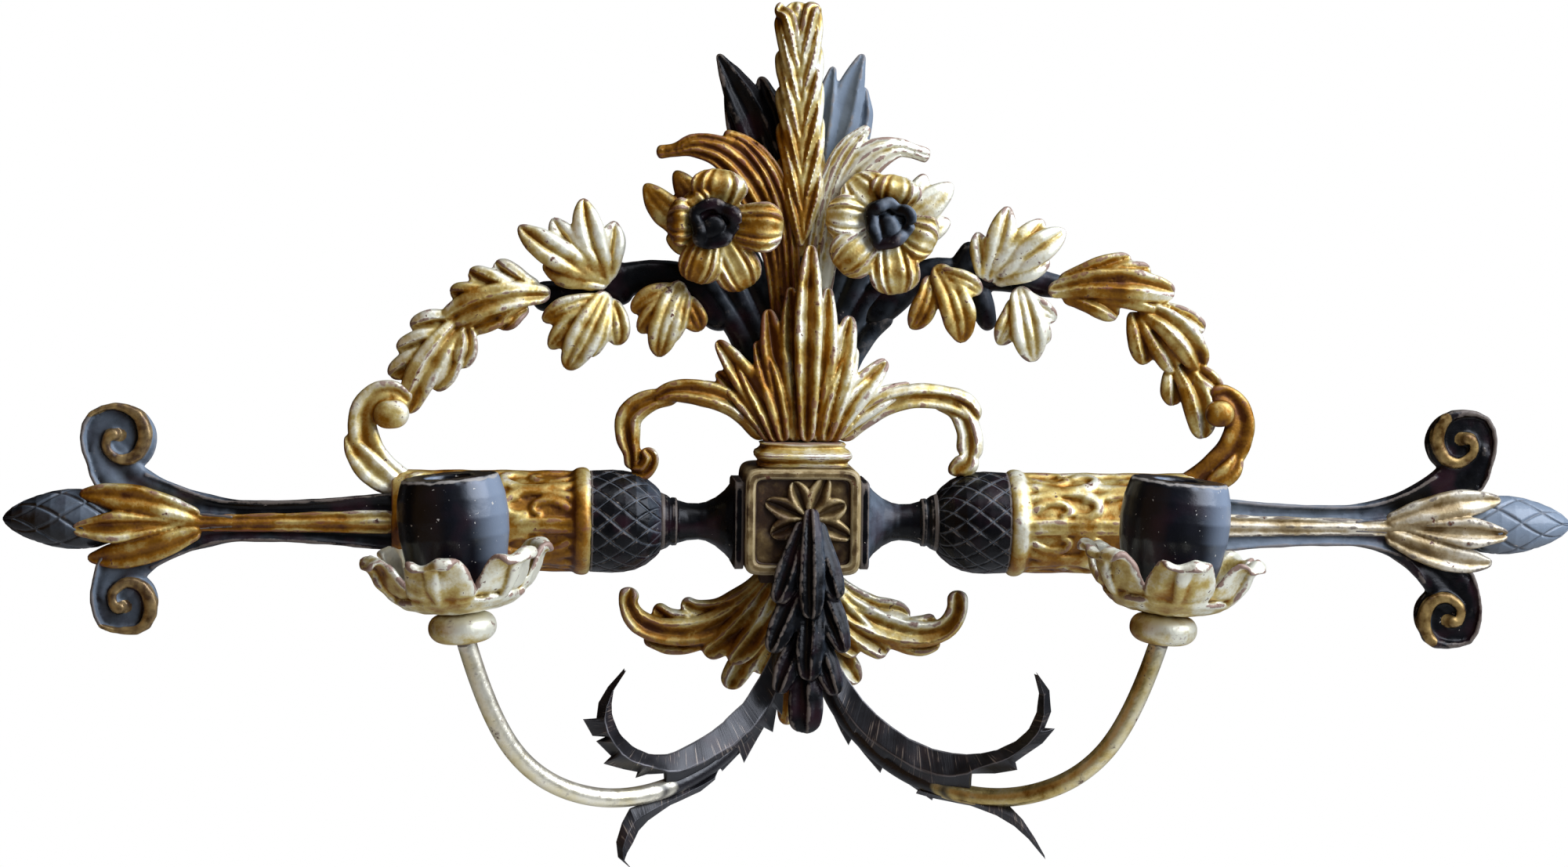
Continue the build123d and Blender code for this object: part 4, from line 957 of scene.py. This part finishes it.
SWAGS = {
    "left": [(-134, 121, -191, 106, 17, -5, 21, 24, 5), (-140, 124, -163, 138, 13, 2, 20, 22, 3),
             (-148, 122, -177, 133, 13, 1, 21, 22, 4), (-158, 120, -187, 122, 12, 0, 21, 22, 4),
             (-146, 114, -160, 102, 12, -2, 20, 22, 3), (-152, 112, -178, 102, 13, -1, 21, 22, 4),
             (-180, 108, -210, 57, 17, -4, 22, 25, 6), (-180, 106, -208, 103, 12, -2, 20, 22, 3),
             (-182, 100, -215, 91, 13, -1, 20, 23, 4), (-186, 94, -219, 77, 14, -1, 20, 23, 4),
             (-184, 98, -196, 70, 13, 3, 21, 24, 4), (-180, 104, -183, 82, 13, 3, 21, 24, 4)],
    "right": [(134, 125, 202, 124, 17, 5, 21, 24, 6), (140, 130, 178, 143, 13, 0, 20, 23, 4),
              (142, 122, 171, 111, 14, 3, 20, 23, 4), (152, 130, 189, 137, 13, 0, 21, 23, 4),
              (150, 124, 196, 116, 13, 3, 21, 23, 4), (184, 116, 217, 83, 18, 5, 22, 25, 6),
              (180, 114, 187, 86, 14, 0, 20, 24, 4), (188, 116, 219, 104, 11, 3, 20, 22, 3),
              (184, 112, 203, 82, 13, 0, 22, 24, 4), (204, 88, 219, 46, 17, 3, 22, 25, 5),
              (202, 84, 202, 64, 13, 0, 20, 23, 3), (208, 86, 228, 70, 13, 1, 21, 24, 4)]}
# Painted light and shade: how much paler, or darker, each group of leaves is painted than its facing gives.
LEAF_PAINTED_LIGHT = {"left": {"top_leaf": 0.1, "drop_leaf": -0.2, "inner_leaf": -0.4, "swag": 0.0},
            "right": {"top_leaf": 0.6, "drop_leaf": 0.6, "inner_leaf": -0.5, "swag": -0.3}}
gouged = {"top_leaf": {"hollow": 0.25, "vein": -0.6},
          "drop_leaf": {"hollow": 0.8, "vein": 0.75, "tip": 0.34},
          "inner_leaf": {"hollow": 0.8, "vein": 0.75, "tip": 0.34},
          "swag": {"hollow": 0.9, "hollow_at": 0.15, "vein": 0.5, "vein_at": -0.2, "tip": 0.55}}
BRANCH_LEAVES = {"top_leaf": TOP_LEAVES, "drop_leaf": DROP_LEAVES, "inner_leaf": INNER_LEAVES, "swag": SWAGS}
for leaf_name, both_sides in BRANCH_LEAVES.items():
    for side_name, rows in both_sides.items():
        mesh = carve(leaf_name, fronds(rows, rise=4.4, under=4, **gouged[leaf_name]))
        place_piece(side_name + "_" + leaf_name + "_carved", mesh, gilt,
                    side_name + "_" + leaf_name, extra_painted_light=LEAF_PAINTED_LIGHT[side_name][leaf_name])


# ---------------------------------------------------------------- brackets
# A gilded C-scroll springs from each sleeve's end and stands up to the swag, whose lowest lobe comes
# down to the rolled end. A short leaf lies along its outer side.
BRACKETS = {
    "left": [[(-206, 16, 29, 7), (-219, 24, 30, 8.5), (-229, 35, 30, 8.5), (-233, 48, 30, 7.8),
              (-232.5, 60, 30, 6.6), (-226, 68, 30, 5.5), (-216, 69, 30, 5), (-208, 63, 30, 4.5)],
             [(-227, 57, 33, 7.2), (-218, 57, 34, 7.4), (-208.5, 58, 33, 7)],
             [(-212, 16, 32, 5), (-226, 25, 33, 7.5), (-236, 36, 32, 6), (-242, 45, 30, 1.5)]],
    "right": [[(204, 17, 29, 6), (219, 25, 30, 8), (232, 37, 30, 8.5), (238, 50, 30, 8), (237, 62, 30, 7),
               (230, 70, 30, 5.5), (222, 69, 30, 4.6)],
              [(234, 60, 33, 6.8), (227, 60, 34, 7), (219, 60, 33, 6.6)],
              [(238, 38, 31, 3), (232, 28, 33, 6), (220, 20, 32, 4)]]}
for side_name, rows in BRACKETS.items():
    scroll, roll_eye, side_leaf = rows
    bracket = [stroke(scroll, 4.4, under=8, hollow=0.55), stroke(roll_eye, 5, under=10),
               stroke(side_leaf, 4, under=8, hollow=0.5)]
    place_piece(side_name + "_bracket_carved", carve("bracket", bracket), gilt,
                side_name + "_bracket", extra_painted_light=0.1 if side_name == "left" else -1.4)


# ---------------------------------------------------------------- sprays under the block
# Two gilded acanthus sprays and a drop, glued under the block. Long flutes run from the block along
# each spray to a hooked tip with a knob; shorter lobes lap over one another below.
UNDER_SPRAYS = {
    "left": [[(-10, -27, 24, 7), (-26, -45, 25, 8), (-46, -57, 26, 8), (-68, -60, 27, 7), (-84, -55, 28, 6.5),
              (-91, -45, 29, 5), (-90, -36, 29, 5.5)],
             [(-12, -26, 23, 6), (-24, -38, 24, 6.5), (-40, -47, 24, 6), (-53, -48, 24, 5),
              (-62, -44, 24, 4)],
             [(-30, -48, 23, 6), (-50, -62, 23, 7), (-68, -67, 23, 5.5), (-82, -64, 23, 3)],
             [(-56, -54, 23, 5), (-68, -53, 23, 5), (-77, -47, 23, 4)],
             [(-10, -30, 25, 7), (-24, -50, 26, 8), (-38, -64, 26, 7), (-50, -72, 25, 5)],
             [(-8, -34, 26, 7), (-18, -54, 27, 7), (-28, -68, 27, 7), (-36, -76, 26, 4)],
             [(-8, -40, 23, 6), (-20, -62, 23, 7), (-32, -82, 22, 7), (-37, -91, 22, 5)],
             [(-4, -38, 22, 6), (-12, -62, 22, 8), (-20, -83, 21, 6)]],
    "right": [[(10, -27, 24, 7), (24, -45, 25, 8), (44, -56, 26, 8), (64, -61, 27, 7), (79, -58, 28, 6),
               (86, -48, 29, 5.5), (86, -37, 29, 5.5)],
              [(12, -26, 23, 6), (24, -38, 24, 6.5), (40, -46, 24, 6), (54, -48, 24, 5), (61, -51, 24, 2)],
              [(28, -46, 23, 6), (48, -60, 23, 7), (66, -67, 23, 6), (78, -65, 23, 4)],
              [(56, -58, 23, 5), (68, -56, 23, 4.5), (75, -52, 23, 3)],
              [(10, -30, 25, 7), (22, -48, 26, 8), (36, -62, 26, 7.5), (49, -72, 25, 5)],
              [(8, -34, 26, 7), (16, -54, 27, 7), (26, -66, 27, 6), (33, -72, 26, 4)],
              [(6, -40, 22, 6), (16, -62, 22, 7), (28, -80, 22, 7), (34, -88, 22, 4)]]}
for side_name, rows in UNDER_SPRAYS.items():
    spray = [stroke(row, 5, under=7, hollow=0.85, hollow_at=0.1, vein=0.3, vein_at=-0.6, blunt=0.8)
             for row in rows]
    place_piece(side_name + "_under_spray_carved", carve("under_spray", spray), gilt,
                side_name + "_under_spray", extra_painted_light=-0.4 if side_name == "left" else 0.0)
drop = [stroke([(0, -27, 21, 5), (-1, -60, 21, 7), (-3, -95, 21, 7), (-5, -111, 21, 4)], 6, under=7,
               vein=0.4)]
place_piece("under_drop_carved", carve("under_drop", drop), gilt, "under_drop", extra_painted_light=-0.6)


# ---------------------------------------------------------------- husk
# A pendant husk glued over the block's face: three tiers of ebonised lobes, each with a raised ridge
# worn through to brown, and a long end lobe.
HUSK = [
    [(4, 10, 61, 3.5), (4, -8, 67, 5.5), (4, -30, 71, 6.8), (4, -47, 72, 4.5)],
    [(4, -34, 62, 5), (4, -52, 66, 7.2), (3, -68, 69, 7), (3, -80, 70, 4.5)],
    [(3, -66, 60, 6), (2, -84, 63, 8.6), (2, -100, 64, 9), (2, -109, 62, 6)],
    [(1, 3, 59, 4), (-4, -12, 62, 6.2), (-9, -27, 65, 7), (-14, -39, 68, 4.5)],
    [(7, 3, 59, 4), (10, -12, 62, 6.2), (14, -25, 65, 6.8), (18, -37, 68, 4)],
    [(1, -22, 60, 5), (-5, -38, 63, 7), (-12, -53, 67, 7), (-17, -65, 70, 4)],
    [(6, -22, 60, 5), (12, -38, 63, 7), (18, -53, 67, 6.5), (22, -65, 70, 3.5)],
    [(1, -50, 60, 5), (-4, -64, 63, 6), (-9, -76, 66, 6.5), (-13, -87, 68, 4)],
    [(5, -50, 60, 5), (10, -64, 63, 6), (14, -76, 66, 6.5), (18, -88, 68, 4)]]
husk_surfaces = [stroke(row, 4.6, under=5, hollow=0.6, hollow_at=-0.4, vein=0.5, vein_at=0.15, blunt=0.7)
                 for row in HUSK]
husk_surfaces.append(stroke([(4, 0, 58, 7), (4, -40, 59, 12), (3, -75, 59, 10)], 3, under=3))
place_piece("husk_carved", carve("husk", husk_surfaces, 0.85), black_wood, "husk", extra_painted_light=-0.1)


# ---------------------------------------------------------------- arms
# A 10 mm iron tube on each side, bent in one sweep from the plate under the block out to the socket.
# A thin spigot on its end carries pan, cup and nut. It is gilded, and painted black near the husk.
ARM = [(6, -28, 44), (7, -62, 45), (20, -100, 50), (52, -130, 74), (98, -141, 98), (140, -126, 120),
       (166, -90, 134), (178, -48, 139.5)]
TUBE_RADIUS = 5.0
SOCKET = np.array([180.0, -35.0, 140.0])
LEAN = np.radians(5.2)


def bent_tube(corners, radius):
    """Rings of a tube bent smoothly inside a line of corners: between the middles of two runs the
    axis is the parabola that the corner between them pulls."""
    p = np.array(corners, float)
    joints = np.vstack([p[0], (p[1:-2] + p[2:-1]) / 2, p[-1]])
    t = np.linspace(0, 1, 40, endpoint=False)[None, :, None]
    a, b, c = joints[:-1, None], p[1:-1, None], joints[1:, None]
    axis = ((1 - t) ** 2 * a + 2 * t * (1 - t) * b + t ** 2 * c).reshape(-1, 3)
    axis = np.vstack([axis, p[-1]])
    along = np.gradient(axis, axis=0)
    along /= np.linalg.norm(along, axis=1, keepdims=True)
    side_way = np.array([-0.485, 0, 0.875])
    side_way = side_way - along * (along @ side_way)[:, None]
    side_way /= np.linalg.norm(side_way, axis=1, keepdims=True)
    other = np.cross(along, side_way)
    v = np.arange(36) * 2 * np.pi / 36
    outward = np.cos(v)[:, None] * side_way[:, None] + np.sin(v)[:, None] * other[:, None]
    return axis, axis[:, None] + radius * outward


def stand(profile, count, spacing=1.0):
    """Turning on an upright axis: rings from (radius, z) places."""
    radius, z = even(profile, spacing).T
    v = np.arange(count) * 2 * np.pi / count
    return np.stack([radius[:, None] * np.cos(v), z[:, None] + 0 * v, radius[:, None] * np.sin(v)], -1)


def leaned(rings, s):
    """Puts a socket piece, made upright round the origin, on the end of an arm: it leans outwards
    about the socket's foot. s is 1 on the right and -1 on the left."""
    x, z, out = s * rings[..., 0], rings[..., 1] - SOCKET[1], rings[..., 2]
    return np.stack([s * (SOCKET[0] + x * np.cos(LEAN) + z * np.sin(LEAN)),
                     SOCKET[1] + z * np.cos(LEAN) - x * np.sin(LEAN), SOCKET[2] + out], -1)


# Gilding straight on iron: a paler, champagne leaf with brown clouds, worn to dark specks. Black paint
# covers the inner end of the tube, as far as the sheet leaf's wrapping.
gilt_iron = gilded("champagne_gilding_on_iron", [
    (0.28, paint("#8a6a2c")), (1.0, paint("#f6efd8")), (0.50, paint("#cdb674")), (0.72, paint("#e6d9ae"))],
    paint("#4a3020"), 0.85, 0.32)
iron_tree = gilt_iron.node_tree
iron_shader = iron_tree.nodes["Principled BSDF"]
black_end = marked(iron_tree, "painted")
gold_colour = iron_shader.inputs["Base Color"].links[0].from_socket
gold_shine = iron_shader.inputs["Metallic"].links[0].from_socket
bare_gold = add(iron_tree, "ShaderNodeMapRange", {"Value": black_end, "To Min": 1.0, "To Max": 0.0})
iron_colour = cover(iron_tree, black_end, gold_colour, paint("#121015"))
iron_tree.links.new(iron_colour, iron_shader.inputs["Base Color"])
iron_shine = add(iron_tree, "ShaderNodeMath", {0: gold_shine, 1: bare_gold}, operation="MULTIPLY")
iron_tree.links.new(iron_shine, iron_shader.inputs["Metallic"])

arm_axis, arm_rings = bent_tube(ARM, TUBE_RADIUS)
spigot_rings = stand([(0.4, -50), (3, -50), (3, -3.4), (2.6, -3), (0.4, -3)], 24, 2.0)
BLACK_UNTIL = 80.0
for side_name, flip, s in (("left", mirrored, -1), ("right", lambda rings: rings, 1)):
    arm_mesh = make_mesh("arm", [skin(flip(arm_rings)), skin(leaned(spigot_rings, s))])
    weather(arm_mesh)
    arm_points = read(arm_mesh)
    far_out = np.abs(arm_points[:, 0]) + 6 * np.sin(arm_points[:, 2] * 1.3)     # an uneven edge
    mark(arm_mesh, "painted", np.clip((BLACK_UNTIL - far_out) / 14, 0, 1))
    place_piece(side_name + "_arm_bent", arm_mesh, gilt_iron, side_name + "_arm",
                extra_painted_light=0.3 if side_name == "left" else -0.8)


# ---------------------------------------------------------------- sheet-iron leaves
# A leaf of thin sheet iron on each arm, creased down its middle, wrapped over the tube and snipped to
# saw teeth along its lower edge. One prong curls up and one down. Black paint, scratched across.
def sheet_leaf(pairs, crease_from, crease_to, lift, thick=1.1):
    """A creased strip. pairs are (x, z) on its inner edge and (x, z) on its toothed edge, from the root
    to the tip. It follows the arm's distance from the wall and stands 'lift' off it at the crease.
    Also returns for every ring point how far along (mm) and across (0 to 1) it lies."""
    rows = np.array(pairs, float)
    sizes = np.linalg.norm(np.diff((rows[:, :2] + rows[:, 2:]) / 2, axis=0), axis=1)
    along = np.concatenate([[0], np.cumsum(sizes)])
    at = np.unique(np.concatenate([np.arange(0, along[-1], 0.8), along]))
    rows = np.stack([np.interp(at, along, column) for column in rows.T], -1)
    across = np.linspace(0, 1, 25)
    crease = np.interp(at, [0, along[-1]], [crease_from, crease_to])[:, None]
    ridge = np.where(across < crease, across / crease, (1 - across) / (1 - crease))
    inner, toothed = rows[:, None, :2], rows[:, None, 2:]
    padded = np.pad(rows[:, 2:], ((16, 16), (0, 0)), "edge")
    plain = np.stack([np.convolve(column, np.ones(33) / 33, "valid") for column in padded.T], -1)
    fold = inner + (plain[:, None] - inner) * crease[..., None]
    to_fold, from_fold = (across / crease)[..., None], ((across - crease) / (1 - crease))[..., None]
    x, z = np.moveaxis(np.where(to_fold < 1, inner + (fold - inner) * to_fold,
                                fold + (toothed - fold) * from_fold), -1, 0)
    order = np.argsort(arm_axis[:, 0])
    base = np.interp(np.abs(x), arm_axis[order, 0], arm_axis[order, 2])
    out = base + 0.5 + (lift - 0.5) * ridge + 0.3 * np.sin(at[:, None] * 0.35)
    front, back = np.stack([x, z, out], -1), np.stack([x, z, out - thick], -1)
    grid = np.broadcast_to(at[:, None], x.shape), np.broadcast_to(across, x.shape)
    here, there = (np.concatenate([value, value[:, ::-1]], 1) for value in grid)
    return np.concatenate([front, back[:, ::-1]], 1), here, there


TOLE_UPPER = {
    "left": [(-12, -62, -4, -72), (-15, -69, -8, -86), (-22, -81, -9, -102), (-24, -84, -12, -99),
             (-28, -90, -14, -111), (-31, -94, -19, -108), (-40, -101, -30, -126), (-42, -103, -32, -120),
             (-48, -107, -42, -129), (-50, -108, -44, -126), (-58, -112, -56, -134), (-68, -116, -68, -137),
             (-72, -117, -73.3, -136), (-73.5, -117, -74, -127), (-79, -116.5, -83, -126.6),
             (-82, -116, -89, -128), (-84, -115, -88, -125), (-88, -113, -95, -123), (-91, -111, -106, -119),
             (-93, -109, -102, -115.5), (-96, -106, -110, -107), (-97.5, -104, -105, -105),
             (-99, -101, -112, -104), (-101, -96, -117, -95), (-101.8, -93, -110, -95),
             (-102, -88, -109, -87), (-101, -81, -104, -79), (-94.5, -71, -95.5, -70)],
    "right": [(14, -62, 8, -70), (18, -69, 12, -84), (25, -81, 17, -99), (30, -88, 22, -110),
              (33, -92, 26, -117), (35, -94, 27.5, -113), (40, -99, 34, -121), (46, -103.5, 42, -130),
              (48, -105, 43.5, -126), (56, -110, 54, -133), (64, -113, 68, -142), (68, -114.5, 69.5, -138),
              (78, -116, 80, -138.5), (84, -116, 87.2, -138), (85, -116, 87.5, -126), (92, -115, 99, -125),
              (98, -113, 110, -122), (100, -112.5, 109, -118), (109, -107, 122, -107), (114, -102, 128, -99),
              (115.5, -100, 123, -99), (119, -91, 126, -90), (120, -81, 125, -79), (117.5, -71, 118.5, -70)]}
TOLE_LOWER = {
    "left": [(-44, -128, -46, -133), (-53, -132, -54, -138.5), (-70, -137.5, -70, -144),
             (-83, -141, -82, -151), (-92, -144, -87, -156), (-96, -151, -90, -162),
             (-99, -161, -93, -167), (-98, -169, -94.5, -171), (-91, -175.5, -90.5, -176)],
    "right": [(60, -134, 60, -139), (70, -136, 70, -141), (87, -138, 87, -143), (100, -139.5, 100, -147),
              (107, -142, 109, -152), (113, -148, 116, -158), (119, -157, 121, -164),
              (124, -166, 124.5, -168)]}
black_sheet, tree, shader, where, edge, hollow, back, painted_light = begin("black_paint_on_sheet_iron")
shader.inputs["Metallic"].default_value = 0.35
shader.inputs["Specular IOR Level"].default_value = 0.8
cloud = clouds(tree, where, 14, 3.0)
colour = add(tree, "ShaderNodeValToRGB", {"Fac": cloud}, [
    (0.35, paint("#0c0b10")), (0.68, paint("#291c1f")), (0.52, paint("#18171c"))])
down_sheet = marked(tree, "along")
over_sheet = marked(tree, "across")
scratches = add(tree, "ShaderNodeCombineXYZ", {0: down_sheet, 1: over_sheet})
scratches = add(tree, "ShaderNodeTexNoise", {"Vector": scratches, "Scale": 1.1, "Detail": 2.0})
scored = weigh(tree, cloud, 0.6, scratches)
scored = fade_in(tree, scored, 0.92, 1.02, 0.6)
colour = cover(tree, scored, colour, paint("#a39383"))
rub = weigh(tree, cloud, 1.2, edge)
rub = fade_in(tree, rub, 1.2, 2.2, 0.6)
colour = cover(tree, rub, colour, paint("#8d8a8c"))
tree.links.new(colour, shader.inputs["Base Color"])
tree.links.new(add(tree, "ShaderNodeMapRange", {"Value": cloud, "From Min": 0.3, "From Max": 0.7,
                                                "To Min": 0.32, "To Max": 0.50}), shader.inputs["Roughness"])
tree.links.new(add(tree, "ShaderNodeBump", {"Height": scratches, "Distance": 0.12 * MM, "Strength": 1.0}),
               shader.inputs["Normal"])
for side_name in ("left", "right"):
    prongs = [sheet_leaf(TOLE_UPPER[side_name], 0.66, 0.36, 8.5),
              sheet_leaf(TOLE_LOWER[side_name], 0.5, 0.5, 4.5)]
    tole_mesh = make_mesh("tole", [skin(rings) for rings, _, _ in prongs])
    weather(tole_mesh, 2, 12)
    for mark_name, which in (("along", 1), ("across", 2)):
        values = [np.concatenate([prong[which].ravel(), [0, 0]]) for prong in prongs]
        mark(tole_mesh, mark_name, np.concatenate(values))
    place_piece(side_name + "_tole_leaf_cut", tole_mesh, black_sheet,
                side_name + "_tole_leaf")


# ---------------------------------------------------------------- knops, drip pans and cups
# Each socket is a stack of three turned and carved pieces on the arm's spigot: a gilt knop, a gilt
# drip pan carved as six thick curling petals, and a barrel cup bored for the candle.
def through(rings):
    """Closed surface through rings that come back to the first, for a piece with a hole through it."""
    rows, around = rings.shape[:2]
    here = np.arange(around)
    after = (here + 1) % around
    row = np.arange(rows)[:, None] * around
    following = np.roll(row, -1, axis=0)
    quads = np.stack([row + here, row + after, following + after, following + here], -1)
    return rings.reshape(-1, 3), quads.reshape(-1, 4), np.zeros((0, 3), int)


PETAL_LINE = even([(9, -33.6), (18, -32.2), (28, -28.4), (36, -22), (40.4, -14.5), (42.6, -8.2),
                   (44.4, -5.2), (46.6, -5.4), (47.8, -8.4)], 0.5)


def in_bowl(rings, bearing):
    """Lays a flat petal (s, across, height) in the pan: s runs along the bowl's section from its middle
    outwards, height stands square on the section, and across is wound about the upright axis."""
    steps = np.concatenate([[0], np.cumsum(np.linalg.norm(np.diff(PETAL_LINE, axis=0), axis=1))])
    slope = np.gradient(PETAL_LINE, axis=0)
    slope /= np.linalg.norm(slope, axis=1, keepdims=True)
    radius, z, outward, upward = (np.interp(rings[..., 0], steps, column)
                                  for column in np.column_stack([PETAL_LINE, slope]).T)
    angle = bearing + rings[..., 1] / np.maximum(radius, 18)
    radius, z = radius - upward * rings[..., 2], z + outward * rings[..., 2]
    return np.stack([radius * np.cos(angle), z, radius * np.sin(angle)], -1)


knop_line = [(0.4, -50.9), (8, -51), (13.4, -49.5), (16.5, -46.5), (17.4, -43), (16.6, -39.4),
             (13.8, -36.6), (8, -35.2), (0.4, -35.1)]
knop_rings = stand(curve(knop_line, np.linspace(0, 1, 50))[0], 96, 0.8)
dish_rings = stand([(3.4, -34.6), (12, -34.8), (20, -33.6), (28, -30.6), (33, -27), (33.4, -25.4),
                    (31, -25.4), (25, -28.6), (19, -30), (15.4, -29.5), (15, -24), (3.4, -24),
                    (3.4, -34.6)], 96)[:-1]
cup_line = [(3.4, -23.6), (20.2, -23.6), (22.5, -20), (25.8, -8), (27.8, 4), (28.3, 14), (27.4, 24),
            (25.4, 31.4), (24.6, 33.4), (23.4, 34.1), (13.4, 34), (12.4, 33.4), (12, 31), (12, 4), (8, 4),
            (8, -10), (3.4, -10), (3.4, -23.6)]
cup_rings = stand(cup_line, 120, 0.9)[:-1]
cup_radius = np.hypot(cup_rings[..., 0], cup_rings[..., 2])
rim_near = np.exp(-((cup_rings[..., 1] - 33.6) / 1.8) ** 2) * (
    np.exp(-((cup_radius - 24.4) / 1.5) ** 2) + 0.5 * np.exp(-((cup_radius - 12.8) / 1.0) ** 2))
cup_rings = cup_rings * (1 - 0.03 * rim_near[..., None] * np.array([1, 0, 1])
                         * np.clip(wander(cup_rings, 1.0, 11), 0, 1)[..., None])
cup_rings[..., 1] -= 0.9 * rim_near * np.clip(wander(cup_rings, 1.0, 13), 0, 1)

# Black lacquer over wood: a hard, clear, broad blue-white highlight painted into the colour where the
# cup faces the key light, purple-brown where it is thin, and a rim knocked back to pale ground.
cup_black, tree, shader, where, edge, hollow, back, painted_light = begin("black_lacquer_on_turned_wood")
cloud = clouds(tree, where, 22, 2.0)
patch = clouds(tree, where, 4, 3.0)
speck = clouds(tree, where, 1.4, 1.0)
colour = add(tree, "ShaderNodeValToRGB", {"Fac": cloud}, [
    (0.35, paint("#07080c")), (0.68, paint("#20141c")), (0.52, paint("#0e0f16"))])
# Painted highlight: blue-white laid into the colour where the cup faces the key light.
painted_sheen = fade_in(tree, painted_light, 0.48, 1.0, 0.8)
colour = cover(tree, painted_sheen, colour, paint("#8a97a8"))
bare = marked(tree, "rim")
bare = weigh(tree, patch, 0.8, bare)
bare = fade_in(tree, bare, 0.9, 1.3, 0.85)
colour = cover(tree, bare, colour, paint("#a39d95"))
fleck = weigh(tree, speck, 0.9, patch)
fleck = add(tree, "ShaderNodeMapRange", {"Value": fleck, "From Min": 1.26, "From Max": 1.30})
colour = cover(tree, fleck, colour, paint("#b8b4ac"))
tree.links.new(colour, shader.inputs["Base Color"])
tree.links.new(add(tree, "ShaderNodeMapRange", {"Value": bare, "To Min": 0.28, "To Max": 0.6}),
               shader.inputs["Roughness"])
shader.inputs["Specular IOR Level"].default_value = 0.3
shader.inputs["Coat Weight"].default_value = 0.1
shader.inputs["Coat Roughness"].default_value = 0.25
wavy = weigh(tree, bare, -0.5, patch)
tree.links.new(add(tree, "ShaderNodeBump", {"Height": wavy, "Distance": 0.2 * MM, "Strength": 1.0}),
               shader.inputs["Normal"])

PAN_TURN = {"left": 16.0, "right": 0.0}
PAN_PETALS = 6
for side_name, s in (("left", -1), ("right", 1)):
    knop_mesh = make_mesh("knop", [skin(leaned(knop_rings, s))])
    weather(knop_mesh)
    place_piece(side_name + "_knop_turned", knop_mesh, gilt, side_name + "_knop", extra_painted_light=0.1)
    pan_surfaces = [through(leaned(dish_rings, s))]
    for index in range(PAN_PETALS):
        bearing = np.radians(90 + 360 / PAN_PETALS * index - s * PAN_TURN[side_name])
        raised = 1.6 * (index % 2)
        petal = stroke([(8, 0, 1.5, 9), (20, 0, 1.5 + raised, 15), (32, 0, 1 + raised, 19),
                        (43, 0, 0.8 + raised, 17.5), (52, 0, 0.2, 12), (58, 0, 0, 5)], 3.4, under=2.4,
                       hollow=1.15, hollow_at=0.35, vein=0.3, vein_at=-0.3, blunt=0.4)
        keel = stroke([(12, 0, 0.4, 1.6), (28, 1.5, -0.8, 2.4), (42, 1, -1.5, 3.4), (52, 0, -1.2, 4),
                       (58, 0, -0.4, 3)], 1.0, under=2.2)
        pan_surfaces += [leaned(in_bowl(petal, bearing), s), leaned(in_bowl(keel, bearing), s)]
    pan_mesh = carve("pan", pan_surfaces, 0.9, 1, 0.55)
    place_piece(side_name + "_pan_carved", pan_mesh, gilt, side_name + "_pan",
                side_name + "_pan", extra_painted_light=0.6)
    cup_mesh = make_mesh("cup", [through(leaned(cup_rings, s))])
    weather(cup_mesh)
    mark(cup_mesh, "rim", rim_near.ravel())
    place_piece(side_name + "_cup_turned", cup_mesh, cup_black, side_name + "_cup",
                side_name + "_cup")


# ---------------------------------------------------------------- iron hardware
# The plate that holds the arms under the block, the nuts in the cups, the hanger plates behind and
# their screws: plain forged iron, oiled dark brown-grey and dull.
iron, tree, shader, where, edge, hollow, back, painted_light = begin("oiled_forged_iron")
shader.inputs["Metallic"].default_value = 0.85
cloud = clouds(tree, where, 6, 3.0)
tree.links.new(add(tree, "ShaderNodeValToRGB", {"Fac": cloud}, [
    (0.35, paint("#2c2724")), (0.7, paint("#5a4a40"))]), shader.inputs["Base Color"])
tree.links.new(add(tree, "ShaderNodeMapRange", {"Value": cloud, "From Min": 0.3, "From Max": 0.7,
                                                "To Min": 0.45, "To Max": 0.65}), shader.inputs["Roughness"])
tree.links.new(add(tree, "ShaderNodeBump", {"Height": cloud, "Distance": 0.1 * MM, "Strength": 1.0}),
               shader.inputs["Normal"])
for name in ("arm_plate", "socket_nuts", "hanger_plates", "wood_screws"):
    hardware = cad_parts[name]
    hardware.data.materials.clear()
    hardware.data.materials.append(iron)

bpy.context.view_layer.update()
